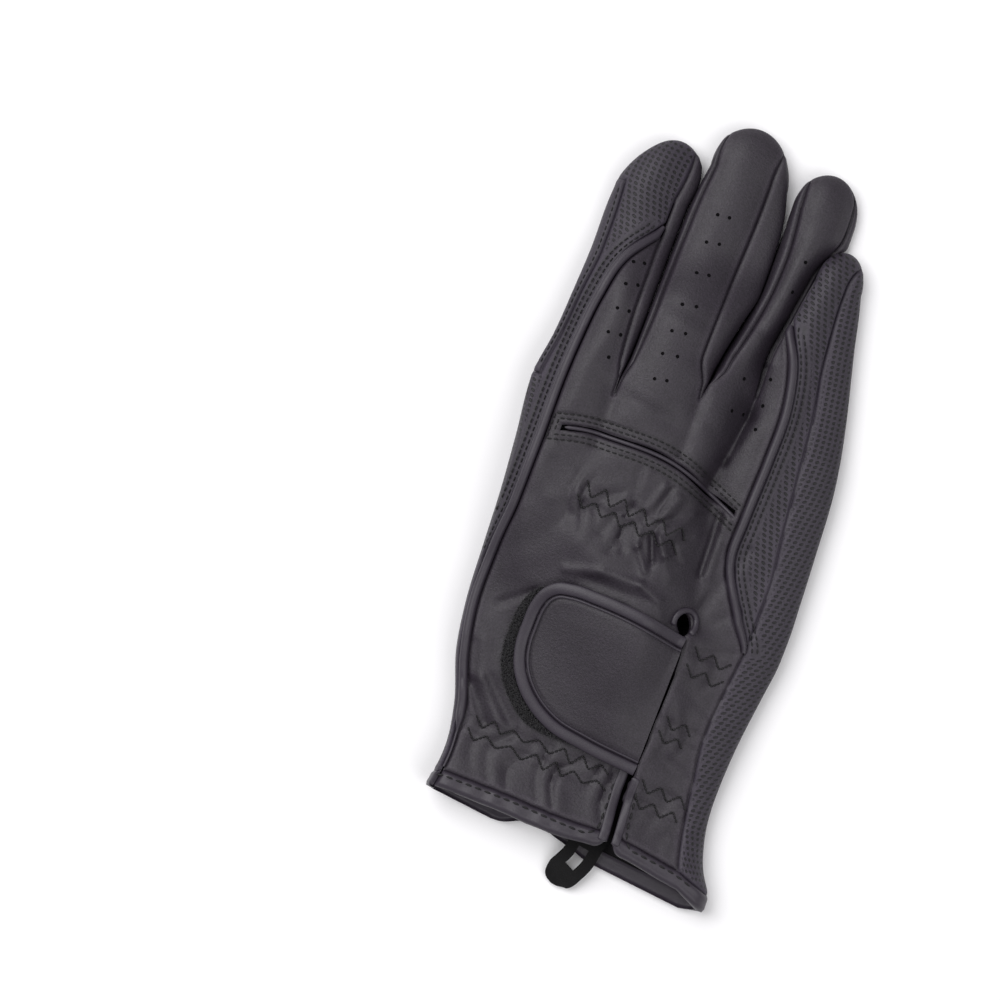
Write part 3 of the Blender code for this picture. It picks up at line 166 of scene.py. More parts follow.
# The two sides of each gap between fingers: seam on the back, outline, and seam on the palm.
GAP_COLUMNS = ("y", "seam_a", "out_a", "palm_a", "seam_b", "out_b", "palm_b")
INDEX_MIDDLE = (
    (33, -24.3, -24.4, -24.6, -24.3, -24.3, -24.4),
    (45, -26.2, -23.75, -26.5, -22.6, -23.45, -22.4),
    (60, -27.5, -23.5, -27.3, -21.6, -23.3, -20.6),
    (75, -27.8, -23.5, -27.5, -21.4, -23.3, -20.2),
    (90, -28, -23.5, -27.5, -21.3, -23.3, -20),
    (101, -28, -23.4, -27.8, -21, -22.9, -19.6),
    (113, -28, -23.9, -28, -20, -21.5, -18.8),
)
MIDDLE_RING = (
    (41.5, 1.5, 1.5, 4, 1.5, 1.5, 4),
    (47, -1, 2.35, 3.8, 4.7, 2.6, 5),
    (58, -2.4, 3.65, 4.1, 6.8, 3.9, 5.4),
    (68, -2.3, 5.5, 4.6, 9.1, 5.75, 6.2),
    (80, -2, 7.8, 5, 10.9, 8.05, 6.9),
    (92, -1.5, 7.6, 4.4, 11.4, 8.1, 7.4),
    (104, -1.3, 6.4, 3, 10.4, 7.4, 8),
    (113, -1.4, 4, 1, 9, 7, 8.4),
)
RING_LITTLE = (
    (46, 18, 21.6, 25, 18, 21.6, 25),
    (55, 16.8, 20.6, 24.4, 17.8, 21.6, 25.4),
    (64, 17, 20.6, 24.4, 18, 21.6, 25.4),
    (74, 18.5, 21.4, 24.4, 19.5, 22.4, 25.4),
    (84, 19.9, 22.2, 23.8, 20.9, 23.2, 24.8),
    (91, 21.2, 22.6, 22.8, 22.3, 23.8, 24.2),
    (97, 23.4, 24.2, 24, 24, 25.6, 25.6),
    (103, 25.8, 28.4, 26.4, 25, 28, 29),
    (110, 26.4, 28.2, 26.2, 25, 28, 29),
)

# The rows of the body at each line: cuff edge, binding's inner edge, wrist, top of the slit, the two lips
# of the knuckle vent, and the crotches. Palm lines follow after the back's.
ROW_COLUMNS = ("row", "cells", "left", "over", "pipe", "c1", "c2", "slit_l", "slit_r", "lpipe", "side",
               "right", "palm_r", "p3", "p2", "p1", "palm_l")
BODY_ROWS = (
    ("cuff", 0, -103, -102.5, -101.9, -102, -102.8, -101.6, -101.2, -105.4, -105.4, -109.6, -111, -107.8,
     -102.8, -103.2, -105.4),
    ("hem", 1, -97.8, -97.2, -96.4, -96.4, -97.1, -96.6, -96.6, -99.8, -99.8, -103.8, -105.5, -102.6, -98.2,
     -98.4, -100.4),
    ("wrist", 3, -80, -80, -80, -80, -80, -79, -79, -80, -80, -80, -80, -80, -80, -80, -80),
    ("strap", 7, -30, -30, -30, -27, -25, -23, -23, -29, -29, -30, -30, -30, -30, -30, -30),
    ("vent_low", 6, 14, 14.2, 15.3, 18.9, 18.2, 13.2, 13.2, 8.2, 5.5, 3, 3, 10, 13, 14, 14),
    ("vent_high", 1, 16.2, 16.4, 17.3, 20.7, 20.1, 14.9, 14.9, 10, 7.5, 5, 5, 12, 16, 16.5, 16.2),
    ("crotch", 3, 31, 31.2, 32, 33, 41.5, 48, 48, 47, 45, 42, 42, 44, 46, 36, 31),
)

# Each finger: where its rounded tip starts, the tip's length, how far the tip leans, rows to that start.
FINGER_COLUMNS = ("name", "tip_start", "tip_length", "lean", "rows")
FINGERS = (
    ("index", 97.5, 18, 3, 9),
    ("middle", 112, 15.8, -1.6, 10),
    ("ring", 109, 13.6, -0.6, 9),
    ("little", 90, 11.2, -0.5, 7),
)
TIP_ROWS = 3
TIP_MIDDLE = 4.6
# How far the index finger's inner wall reaches round its tip, as a share of the tip's half width.
INDEX_WALL_REACH = 0.36
CROTCH_BLEND = 12
CROTCH_FIRST = 2
CROTCH_SHARE = 0.35

# Heights of the back above the lifted palm, the arch across the hand and the bulge along each finger.
HEIGHT_COLUMNS = ("y", "height", "arch", "bulge")
HEIGHTS = (
    (-112, 12.5, 4, 0),
    (-98, 11.5, 3.6, 0),
    (-82, 8.8, 2.6, 0),
    (-65, 9.8, 2.8, 0),
    (-30, 10, 2.6, 0),
    (0, 10.2, 2, 0.4),
    (25, 10.4, 1.2, 1.8),
    (45, 9.8, 0.6, 3.2),
    (75, 8.8, 0.2, 3.6),
    (100, 8.2, 0, 3.4),
    (130, 7.8, 0, 3),
)

# The thumb under the palm: its middle, half width and thickness against y.
THUMB_COLUMNS = ("y", "middle", "half", "thick")
THUMB = (
    (-60, -5, 8, 7),
    (-40, -9, 17, 10),
    (-20, -13.5, 20, 11),
    (0, -16.5, 18.8, 11.2),
    (20, -17.2, 17.2, 11.2),
    (40, -17.2, 15, 10.6),
    (50, -17, 12.6, 10),
)
THUMB_RISE = (0.55, 0.83)
THUMB_TIP = 63
THUMB_TIP_HEIGHT = 4.8
THUMB_SEAMS = (150, 325)
THUMB_FIRST_SECTION = 16
THUMB_ROWS = 4
THUMB_BRIDGE_ROWS = 3
THUMB_SQUARENESS = 0.8
THUMB_FLATTENING = 1.06
THUMB_SAG = 0.75
THUMB_CLEARANCE = 0.8

# The oval in the palm that the thumb grows from: reach from its middle in each direction.
HOLE_MIDDLE = (-13, -24)
HOLE_COLUMNS = ("angle", "reach")
HOLE = (
    (0, 24.5),
    (45, 24),
    (90, 24),
    (130, 26),
    (152, 29),
    (182, 18.5),
    (230, 17.5),
    (268, 24.5),
    (297, 29.5),
    (320, 30),
    (340, 26.5),
)
HOLE_RINGS = 2

# Long dents (negative) and ridges (positive), from one end to the other: the large ones of the frame first.
FOLD_COLUMNS = ("x0", "y0", "x1", "y1", "width", "depth")
BACK_FOLDS = (
    (17.4, 44, 14.5, 18, 3.4, -1.5),
    (14.5, 18, 20, 4, 4, -1.2),
    (-24.3, 34, -24, 18, 3, -1),
    (1.5, 42, 2, 24, 3, -1),
    (-18, -14, 6, -22, 5, 1),
    (8, -4, 20, -20, 4, 0.9),
)
PALM_FOLDS = (
    (13, 24, 27, 8, 4.5, 3.6),
    (27, 8, 31, -28, 4.5, 4.2),
    (31, -28, 26, -60, 4.5, 3),
    (-24, -70, -10, -100, 3.5, 2.4),
    (4, -72, 10, -98, 3.5, 2.2),
)
# Finer creases of the back: beside the ring finger, under the vent, from the knuckle elastic, round the
# eyelet, down the little-finger side and over the finger joints.
BACK_CREASES = (
    (17.6, 58, 18.3, 42, 1.4, -1.4),
    (18.3, 42, 15.5, 26, 1.5, -1.7),
    (15.5, 26, 14, 16, 1.4, -1.4),
    (20.4, 11, 21.2, -10, 1.1, -1.1),
    (23.2, 8, 23.6, -10, 1.6, 0.7),
    (-8, 14, -6.6, 3, 1, -1),
    (-5.6, 14, -5, 4, 1.3, 0.5),
    (1, 12, -1.6, 3, 1, 0.9),
    (3.6, 12, 1.2, 3, 0.9, -0.8),
    (7, 10, 3.5, 1.5, 1, 0.9),
    (9.4, 9, 6.4, 1, 0.9, -0.8),
    (12.4, 7, 8.8, -1, 1, 0.9),
    (-10.6, -1, -12.6, -9, 1, -1),
    (-8.4, -2, -8.6, -11, 1, 1.1),
    (-6.4, -5, -8, -14, 0.9, -0.8),
    (-4.6, -3, -4.4, -12, 1, -1.1),
    (-1.5, -3, -0.4, -9, 1, 1.4),
    (-0.4, -9, 4.5, -15.5, 1.2, 1.1),
    (2.2, -4, 5.6, -12, 0.9, -1.1),
    (5, -4, 9, -9, 1, 1.4),
    (9, -9, 12.5, -15, 1.2, 1),
    (9, -4, 13.5, -9, 0.9, -1),
    (-16, -2, -22, -7, 1.8, -0.5),
    (-22, 0, -31, -4, 2.4, 0.4),
    (-19, -23.5, -8, -20.5, 1.5, 0.7),
    (-8, -20.5, 5, -20, 1.5, 0.8),
    (5, -20, 12, -22.5, 1.4, 0.8),
    (12, -22.5, 15, -28.5, 1.4, 0.7),
    (-12, -24.2, 8, -24, 1.8, -0.7),
    (-34.3, -41, -25.3, -33.3, 1.2, -0.9),
    (-37.5, -56, -34.5, -67, 2, -0.7),
    (-34.5, -67, -25.5, -78, 1.4, -0.9),
    (-34, -54, -31, -65, 2.2, 0.5),
    (-31, -65, -21.5, -76, 1.6, 0.7),
    (-29, -64, -18, -75, 1.4, -0.8),
    (25.5, -20, 33, 2, 2, -0.8),
    (28, -26, 37, -17, 1.8, -0.6),
    (24.5, -19, 24, 0, 1.6, 0.5),
    (31, -33, 40, -30, 1.6, -0.5),
    (29, -45, 40, -50, 2.4, -0.5),
    (30, -68, 40, -72, 2.4, -0.5),
    (30, -52, 34, -66, 2, 0.5),
    (47, 34, 50.5, -2, 2, -0.7),
    (48.5, -12, 47.5, -52, 2.2, -0.9),
    (45.5, -40, 46, -80, 1.8, 0.6),
    (49.5, -60, 48.8, -92, 1.6, -0.6),
    (-34, 6, -24, -6, 3, -0.5),
    (-38, -10, -30, -30, 3, 0.5),
    (-34, 14, -26, 8, 2.6, -0.6),
    (-18, 33, -4, 31, 2.6, -0.6),
    (5, 36, 12, 32, 2.4, -0.4),
    (-17, 66, -5, 64, 2.6, -0.4),
    (12, 69, 17, 67, 2, -0.4),
)
PALM_CREASES = (
    (-36, 24, -29, 22, 2, 0.8),
    (34, 30, 40, 14, 2.2, 1.2),
    (36, -4, 38, -40, 2.6, 1.4),
    (-30, -62, -20, -86, 2.2, 1.2),
    (14, -64, 18, -92, 2.2, 1.3),
    (26, -66, 30, -92, 2.2, 1.1),
    (38, -62, 40, -90, 2.2, 1),
    (-8, 52, 2, 50, 2.4, 0.8),
    (6, 78, 20, 80, 2.4, 0.7),
)

# The elastic seams: two zigzag rows each, from left to right, and the gathers that they draw up beside them.
ELASTIC_COLUMNS = ("x0", "y0", "x1", "y1", "apart", "swing", "wave", "depth", "above", "below", "side")
ELASTICS = (
    (-23.5, 2.6, 14.5, -1, 4.6, 1.9, 6.6, 0.95, 5, 8, 1),
    (27, -33.5, 40.5, -34.5, 6, 1.5, 6.6, 0.5, 4, 5, 1),
    (26.5, -57, 39.5, -58, 5, 1.5, 6.6, 0.5, 5, 5, 1),
    (26.5, -78.5, 43.5, -79.5, 5.5, 1.5, 6.6, 0.6, 5, 10, 1),
    (-29.5, -78, 19, -78.6, 5, 1.7, 7.4, 1, 5, 11, 1),
    (-22, -80, 42, -82, 5.5, 1.5, 7.6, 0.8, 13, 12, -1),
)

# Slow swells of the back, and its steps beside the ring and the little finger.
SWELL = 0.17
RING_DIP = 3.8
LITTLE_RISE = 0.9

# The raised edge of the back on the little-finger side of the slit: its height, middle and width.
RAISED_EDGE = 3.4
RAISED_X = 25
RAISED_WIDTH = 7
RAISED_START = (22, 32)
RAISED_FADE = (-90, -78)
RAISED_AT_CUFF = 0.35

# The wrist strap: the y of its lower and upper edge against x.
STRAP_COLUMNS = ("x", "low", "high")
STRAP = (
    (-25.6, -46.5, -41.5),
    (-25, -52.5, -36),
    (-23.2, -58, -31.6),
    (-20, -63, -28.6),
    (-14, -68.6, -27),
    (-6, -72.8, -26.8),
    (6, -75.1, -27.4),
    (24, -76.8, -30.2),
)
# The strap's right end, its layers' heights over the smooth back, its binding and the welt inside that.
STRAP_END = 24.3
STRAP_HOLD = 1.8
STRAP_BINDING_WIDTH = 3.9
STRAP_LIFT = 1.85
STRAP_THICK = 1.5
STRAP_BINDING_LIFT = 2.7
STRAP_BINDING_FLATNESS = 0.4
STRAP_WELT_OFF = 4.6
STRAP_WELT_RADIUS = 0.42
LOOP_LIFT = 0.55
LOOP_THICK = 0.75
# The pad shows past the strap's round end: how far, the x range over which that fades, and its right end.
LOOP_SHIFT = (-3, -2.6)
LOOP_TAPER = (-12, 3)
LOOP_END = 3

# The pull tab: middle line and height of its underside from inside the cuff to its round end.
TAB_COLUMNS = ("x", "y", "z")
TAB = (
    (19.5, -94, 3.4),
    (19, -99, 3.4),
    (18.4, -103.5, 3.4),
    (17.6, -107.6, 3.3),
    (16, -111.2, 2.6),
    (14.4, -114.2, 1.4),
    (13.2, -116.3, 0.6),
    (12.6, -118, 0.3),
)
TAB_HALF = 5.6
TAB_THICK = 1.4
TAB_SLOT = (-103.9, -110.9)
TAB_SLOT_HALF = 0.34

# The punched holes on the fingers' backs.
PERFORATION_COLUMNS = ("x", "y")
PERFORATIONS = (
    (-14, 97.6), (-10.2, 98), (-14.2, 88.3), (-10.2, 89.1), (-13.7, 78.1), (-9.8, 78.7),
    (-14.4, 67), (-10, 67.9), (-14.5, 58), (-10.2, 58.7), (-14.7, 50.3), (-10, 51.1),
    (-14.2, 42), (-10.4, 42.8), (-33.5, 74.2), (-30, 75), (-33.3, 66.7), (-29.5, 67.7),
    (-33, 58.6), (-29.2, 59), (-33, 50.6), (-29, 51.1), (-30, 43.2), (17.2, 93.5),
    (16.8, 83.3), (12.3, 52.3), (12.3, 41.5), (16.2, 41.8), (20.1, 55.1), (20.8, 46.5), (21.3, 38.7),
)

# The two lips of the knuckle vent.
VENT_COLUMNS = ("x", "high", "low")
VENT = (
    (-41.5, 17.3, 15.3),
    (-24, 20.7, 18.9),
    (2, 20.1, 18.2),
    (17, 14.9, 13.2),
    (28.3, 10, 8.2),
)
VENT_LEFT = -36
VENT_RIGHT = 26.5

# The photographed image: millimetres to a pixel, the hand's turn in it, and the plan point at its middle.
IMAGE_SCALE = 0.315
IMAGE_PIXELS = 1000
IMAGE_TURN = 21
IMAGE_MIDDLE = (-45.8, -10.8)
CAMERA_HEIGHT = 2.3
# The height above the floor at which the image scale was measured.
MEASURED_HEIGHT = 0.010
SENSOR = 36


def column(columns, rows, name):
    """One named column of a table as an array."""
    place = columns.index(name)
    return np.array([row[place] for row in rows], float)


def curve_through(xs, ys):
    """A smooth function through the points: cubic pieces with the slopes of the neighbours' chords."""
    step = np.diff(xs)
    slope = np.diff(ys) / step
    tangent = np.empty(len(xs))
    tangent[0] = slope[0]
    tangent[-1] = slope[-1]
    tangent[1:-1] = (slope[:-1] * step[1:] + slope[1:] * step[:-1]) / (step[:-1] + step[1:])
    flat = np.zeros(len(xs), bool)
    flat[1:-1] = slope[:-1] * slope[1:] <= 0
    tangent[flat] = 0

    def value(x):
        x = np.clip(np.asarray(x, float), xs[0], xs[-1])
        i = np.clip(np.searchsorted(xs, x) - 1, 0, len(step) - 1)
        t = (x - xs[i]) / step[i]
        a = ys[i] + t * t * (3 - 2 * t) * (ys[i + 1] - ys[i])
        b = step[i] * t * (1 - t) * ((1 - t) * tangent[i] - t * tangent[i + 1])
        return a + b

    return value


def table_curves(columns, rows):
    """A smooth function of the first column for each other column of a table."""
    first = column(columns, rows, columns[0])
    return {name: curve_through(first, column(columns, rows, name)) for name in columns[1:]}


def run_along(path):
    """The length along a path up to each of its points."""
    return np.append(0, np.cumsum(np.linalg.norm(np.diff(path, axis=0), axis=1)))


def ramp(x, low, high):
    """0 below low, 1 above high, smooth between."""
    t = np.clip((np.asarray(x, float) - low) / (high - low), 0, 1)
    return t * t * (3 - 2 * t)


def bell(x, width):
    """exp(-(x / width)^2)."""
    return np.exp(-(np.asarray(x, float) / width) ** 2)


LINE = {}
for columns, rows in ((THUMB_SIDE_COLUMNS, THUMB_SIDE), (MIDDLE_COLUMNS, MIDDLE),
                      (LITTLE_SIDE_COLUMNS, LITTLE_SIDE)):
    LINE.update(table_curves(columns, rows))
GAP = {
    "index_middle": table_curves(GAP_COLUMNS, INDEX_MIDDLE),
    "middle_ring": table_curves(GAP_COLUMNS, MIDDLE_RING),
    "ring_little": table_curves(GAP_COLUMNS, RING_LITTLE),
}
HEIGHT = table_curves(HEIGHT_COLUMNS, HEIGHTS)
THUMB_AT = table_curves(THUMB_COLUMNS, THUMB)
VENT_AT = table_curves(VENT_COLUMNS, VENT)


def slot_across(name, y):
    """Half width along X of the slot that a piping fills, wider where the piping runs aslant."""
    slant = LINE[name](np.asarray(y) + 0.5) - LINE[name](np.asarray(y) - 0.5)
    widened = np.sqrt(1 + np.minimum(slant * slant, STEEPEST_SLANT))
    if name == "pipe":
        return (THIN_SEAM + (PIPING_SLOT - THIN_SEAM) * ramp(y, *THUMB_PIPING_TAPER)) * widened
    return PIPING_SLOT * ramp(y, *LITTLE_PIPING_TAPER) * widened


def slit_half(y):
    """Half width of the wrist slit: closed at its top, a teardrop eyelet, then a narrow slit."""
    y = np.asarray(y, float)
    eyelet = EYELET_HALF * np.sqrt(np.maximum(0, 1 - ((y - EYELET_Y) / EYELET_LENGTH) ** 2))
    narrow = SLIT_HALF + SLIT_FLARE * ramp(-y, 80, 98)
    opened = narrow * ramp(-y, -SLIT_TOP, -SLIT_TOP + 3)
    return np.where(y >= SLIT_TOP - 0.01, 0.0, np.maximum(eyelet, opened))


def index_seam(y):
    """The seam on the back along the inner side of the index finger, and c1 below the crotch."""
    return np.where(np.asarray(y) > 33, GAP["index_middle"]["seam_a"](y), LINE["c1"](y))


def little_seam(y):
    """The seam on the back along the inner side of the little finger, and the slit's line below it."""
    seam = GAP["ring_little"]["seam_b"](y)
    return np.where(np.asarray(y) > 48, seam, LINE["slit"](y) + slit_half(y))


def line_x(name, y):
    """The x of a named line of the glove at y."""
    if name == "pipe_out":
        return np.minimum(LINE["pipe"](y) - slot_across("pipe", y), index_seam(y))
    if name == "pipe_in":
        return np.minimum(LINE["pipe"](y) + slot_across("pipe", y), index_seam(y))
    if name == "slit_l":
        return LINE["slit"](y) - slit_half(y)
    if name == "slit_r":
        return LINE["slit"](y) + slit_half(y)
    if name in ("lpipe_in", "lpipe_out"):
        half = slot_across("lpipe", y) * (-1 if name == "lpipe_in" else 1)
        x = np.clip(LINE["lpipe"](y) + half, little_seam(y), LINE["side"](y))
        return np.where(np.asarray(y) <= SIDE_PANEL_END, LINE["side"](y), x)
    return LINE[name](y)


def folds(x, y, table):
    """The sum of a table of folds: each falls off as a bell from the segment between its two ends."""
    total = np.zeros(np.broadcast(x, y).shape)
    for row in table:
        fold = dict(zip(FOLD_COLUMNS, row))
        along = np.array([fold["x1"] - fold["x0"], fold["y1"] - fold["y0"]], float)
        length = math.hypot(*along)
        along /= length
        from_x, from_y = x - fold["x0"], y - fold["y0"]
        t = np.clip(from_x * along[0] + from_y * along[1], 0, length)
        away = np.hypot(from_x - t * along[0], from_y - t * along[1])
        total = total + fold["depth"] * bell(away, fold["width"])
    return total


def gathers(x, y, side):
    """The gathers that the elastic seams draw up: round ridges with sharp valleys, fading across the seam.

    Along the seam a gather is 2 |cos| - 1. It wanders a little, so that no two are alike, and the seam
    itself lies in a shallow ditch.
    """
    total = np.zeros(np.broadcast(x, y).shape)
    for row in ELASTICS:
        seam = dict(zip(ELASTIC_COLUMNS, row))
        if seam["side"] != side:
            continue
        along = np.array([seam["x1"] - seam["x0"], seam["y1"] - seam["y0"]], float)
        length = math.hypot(*along)
        along /= length
        run = (x - seam["x0"]) * along[0] + (y - seam["y0"]) * along[1]
        up = (y - seam["y0"]) * along[0] - (x - seam["x0"]) * along[1]
        beyond = np.maximum(np.maximum(-run, run - length), 0)
        fade = bell(beyond, 2.5) * np.where(
            up > 0, bell(up, seam["above"]), bell(np.minimum(up + seam["apart"], 0), seam["below"]))
        wander = 1.5 * np.sin(0.31 * up + 0.7 * seam["x0"]) + 1.6 * np.sin(0.29 * run + 0.19 * up)
        wave = 2 * np.abs(np.cos(math.pi * (run + wander) / seam["wave"])) - 1
        strength = 0.62 + 0.38 * np.sin(0.37 * run + 0.11 * up + seam["y0"])
        total = total + seam["depth"] * wave * strength * fade
        for level in (0.0, -seam["apart"]):
            total = total - 0.35 * bell(up - level, 1.6) * bell(beyond, 1.5)
    return total


def lift(x, y, margin=0.0):
    """How far the thumb holds the palm off the surface: full over the thumb, a slope round it."""
    half = THUMB_AT["half"](y) - LIFT_INSET + margin
    side = 1 - ramp(np.abs(x - THUMB_AT["middle"](y)) - half, 0, LIFT_SLOPE + margin)
    rise = (x - HOLE_MIDDLE[0]) * THUMB_RISE[0] + (y - HOLE_MIDDLE[1]) * THUMB_RISE[1]
    run = ramp(rise, LIFT_RUN[0] - 2 * margin, LIFT_RUN[1] + margin)
    return THUMB_LIFT * side * run * (1 - ramp(y, LIFT_END[0], LIFT_END[1] + margin))


def palm_z(x, y):
    """Height of the glove's underside."""
    cuff = CUFF_RISE * ramp(-y, *CUFF_RISE_Y)
    fold = folds(x, y, PALM_FOLDS) * ramp(-y, *PALM_FOLD_Y)
    fine = folds(x, y, PALM_CREASES) + 0.8 * np.maximum(gathers(x, y, -1), -0.2)
    return np.maximum(lift(x, y) + fold + cuff + fine, 0)


def smooth_back_z(x, y):
    """Height of the back with only its large folds, which the strap and its pad lie on."""
    arch = HEIGHT["arch"](y) * (1 - ((x - ARCH_MIDDLE) / ARCH_HALF) ** 2)
    raised = RAISED_EDGE * bell(x - RAISED_X, RAISED_WIDTH) * (x > LINE["slit"](y))
    along = RAISED_AT_CUFF + (1 - RAISED_AT_CUFF) * ramp(y, *RAISED_FADE)
    raised = raised * ramp(-y, *RAISED_START) * along
    follow = BACK_SHARE * lift(x, y, BACK_MARGIN)
    return HEIGHT["height"](y) + arch + follow + folds(x, y, BACK_FOLDS) + raised


def undulation(x, y):
    """Slow swells of soft leather: waves of 14 to 30 mm that bend one another."""
    slow = np.sin(0.23 * x + 0.9 * np.sin(0.11 * y)) + np.sin(0.21 * y + 1.1 * np.sin(0.16 * x))
    return SWELL * (slow + 0.6 * np.sin(0.41 * x - 0.33 * y + np.sin(0.13 * y)))


def back_z(x, y):
    """Height of the glove's back before the bulge along each finger."""
    return smooth_back_z(x, y) + folds(x, y, BACK_CREASES) + gathers(x, y, 1) + undulation(x, y)


def bulge(x, y):
    """The bulge along each finger and its run-out on the back: (1 - s^2)^1.5 from seam to seam."""
    bounds = [LINE[name](y) for name in ("over", "c1", "c2", "slit", "side")]
    total = np.zeros(np.broadcast(x, y).shape)
    for low, high in zip(bounds[:-1], bounds[1:]):
        s = np.clip((x - low) / (high - low) * 2 - 1, -1, 1)
        total = total + (1 - s * s) ** 1.5
    return HEIGHT["bulge"](y) * total


def spread(first, last, cells):
    """Points from first up to but not with last, both arrays of points, closer together at both ends."""
    even = np.arange(cells) / cells
    steps = even - 0.6 * np.sin(2 * math.pi * even) / (2 * math.pi)
    return first[..., None, :] + (last - first)[..., None, :] * steps[:, None]


def quarter(outer, inner, cells, rising, side):
    """A quarter of an ellipse between an outline point and an inner line.

    It leaves the outline upright and reaches the inner line level. rising gives outline to inner. Where the
    inner line lies beyond the outline, as on a finger that leans, it is a straight slope instead. side is 1
    on the right of the glove or finger and -1 on the left.
    """
    even = np.arange(cells) / cells
    turn = even * math.pi / 2
    curved = np.clip(side * (outer[..., 0] - inner[..., 0]) / FULL_CURVE, 0, 1)[..., None]
    across = even + curved * ((1 - np.cos(turn)) if rising else np.sin(turn)) - curved * even
    up = even + curved * (np.sin(turn) if rising else (1 - np.cos(turn))) - curved * even
    start, end = (outer, inner) if rising else (inner, outer)
    plan = start[..., None, :2] + (end - start)[..., None, :2] * across[..., None]
    z = start[..., None, 2] + (end - start)[..., None, 2] * up
    return np.concatenate([plan, z[..., None]], axis=-1)


def body_y(name):
    """The y of a line at every fine row of the body."""
    source = {"pipe_out": "pipe", "pipe_in": "pipe", "lpipe_in": "lpipe", "lpipe_out": "lpipe"}
    place = ROW_COLUMNS.index(source.get(name, name))
    values = [np.array([float(BODY_ROWS[0][place])])]
    for before, after in zip(BODY_ROWS[:-1], BODY_ROWS[1:]):
        cells = after[1] * FINE_ROWS
        values.append(before[place] + (after[place] - before[place]) * (np.arange(cells) + 1) / cells)
    return np.concatenate(values)


def row_number(name):
    """The fine row at which a named row of the body lies."""
    names = [row[0] for row in BODY_ROWS]
    return FINE_ROWS * sum(row[1] for row in BODY_ROWS[:names.index(name) + 1])


BACK_LINES = ("over", "pipe_out", "pipe_in", "c1", "c2", "slit_l", "slit_r", "lpipe_in", "lpipe_out", "side")
BACK_CELLS = (3, 1, 3, 4, 3, 1, 3, 1, 3)
BACK_TAGS = ("index_cap", "", "back_panel", "back_panel", "back_panel", "", "back_panel", "",
             "little_side_panel")
PALM_LINES = ("palm_r", "p3", "p2", "p1", "palm_l")
PALM_CELLS = (3, 3, 4, 3)
EDGE_CELLS = 2
WALL_CELLS = 4

# Each finger: its lines on the back, its panels there, its gap on either side and its lines on the palm.
FINGER_PLAN = {
    "index": {
        "lines": ("over", "pipe_out", "pipe_in", "seam"), "cells": (3, 1, 3),
        "tags": ("index_cap", "", "back_panel"),
        "left": None, "right": "index_middle", "palm_cells": 3, "crotch": ("over", "c1"),
    },
    "middle": {
        "lines": ("seam", "seam"), "cells": (4,), "tags": ("back_panel",),
        "left": "index_middle", "right": "middle_ring", "palm_cells": 4, "crotch": ("c1", "c2"),
    },
    "ring": {
        "lines": ("seam", "seam"), "cells": (3,), "tags": ("back_panel",),
        "left": "middle_ring", "right": "ring_little", "palm_cells": 3, "crotch": ("c2", "slit_l"),
    },
    "little": {
        "lines": ("seam", "lpipe_in", "lpipe_out", "side"), "cells": (3, 1, 3),
        "tags": ("back_panel", "", "little_side_panel"),
        "left": "ring_little", "right": None, "palm_cells": 3, "crotch": ("slit_r", "side"),
    },
}
GAP_CROTCH = {"index_middle": ("c1", "p1"), "middle_ring": ("c2", "p2"), "ring_little": ("slit_l", "p3")}


def back_start(name):
    """The fine ring column at which a line of the back lies."""
    return FINE * (EDGE_CELLS + sum(BACK_CELLS[:BACK_LINES.index(name)]))


def palm_start(name):
    """The fine ring column at which a line of the palm lies."""
    return FINE * (3 * EDGE_CELLS + sum(BACK_CELLS) + sum(PALM_CELLS[:PALM_LINES.index(name)]))


CURVE_LINES = ("over", "pipe_in", "c1", "c2", "slit_l", "side")


def corner_rise(x, y):
    """How far the cuff's edge rises beside the slit: a quarter circle of CORNER_RADIUS on either side."""
    slit = LINE["slit"](y)
    away = np.clip(np.abs(x - slit) - slit_half(y), 0, CORNER_RADIUS)
    rise = CORNER_RADIUS - np.sqrt(CORNER_RADIUS ** 2 - (CORNER_RADIUS - away) ** 2)
    return rise * (1 - ramp(y, *CORNER_FADE))


def curve_back_rows(back, points):
    """Bends the rows of the back into smooth curves through their points on CURVE_LINES.

    Straight rows between two lines would kink there. The curves fade out towards the crotches.
    """
    last = len(back) - 1
    share = 1 - ramp(np.arange(last + 1), row_number("vent_high") + FINE_ROWS, last - 1)
    for row in range(last + 1):
        knots = np.array([points[name][row, :2] for name in CURVE_LINES])
        curved = curve_through(knots[:, 0], knots[:, 1])(back[row, :, 0])
        back[row, :, 1] += share[row] * (curved - back[row, :, 1])
    back[..., 1] += corner_rise(back[..., 0], back[..., 1])
    x, y = back[..., 0], back[..., 1]
    back[..., 2] = back_z(x, y) + bulge(x, y)


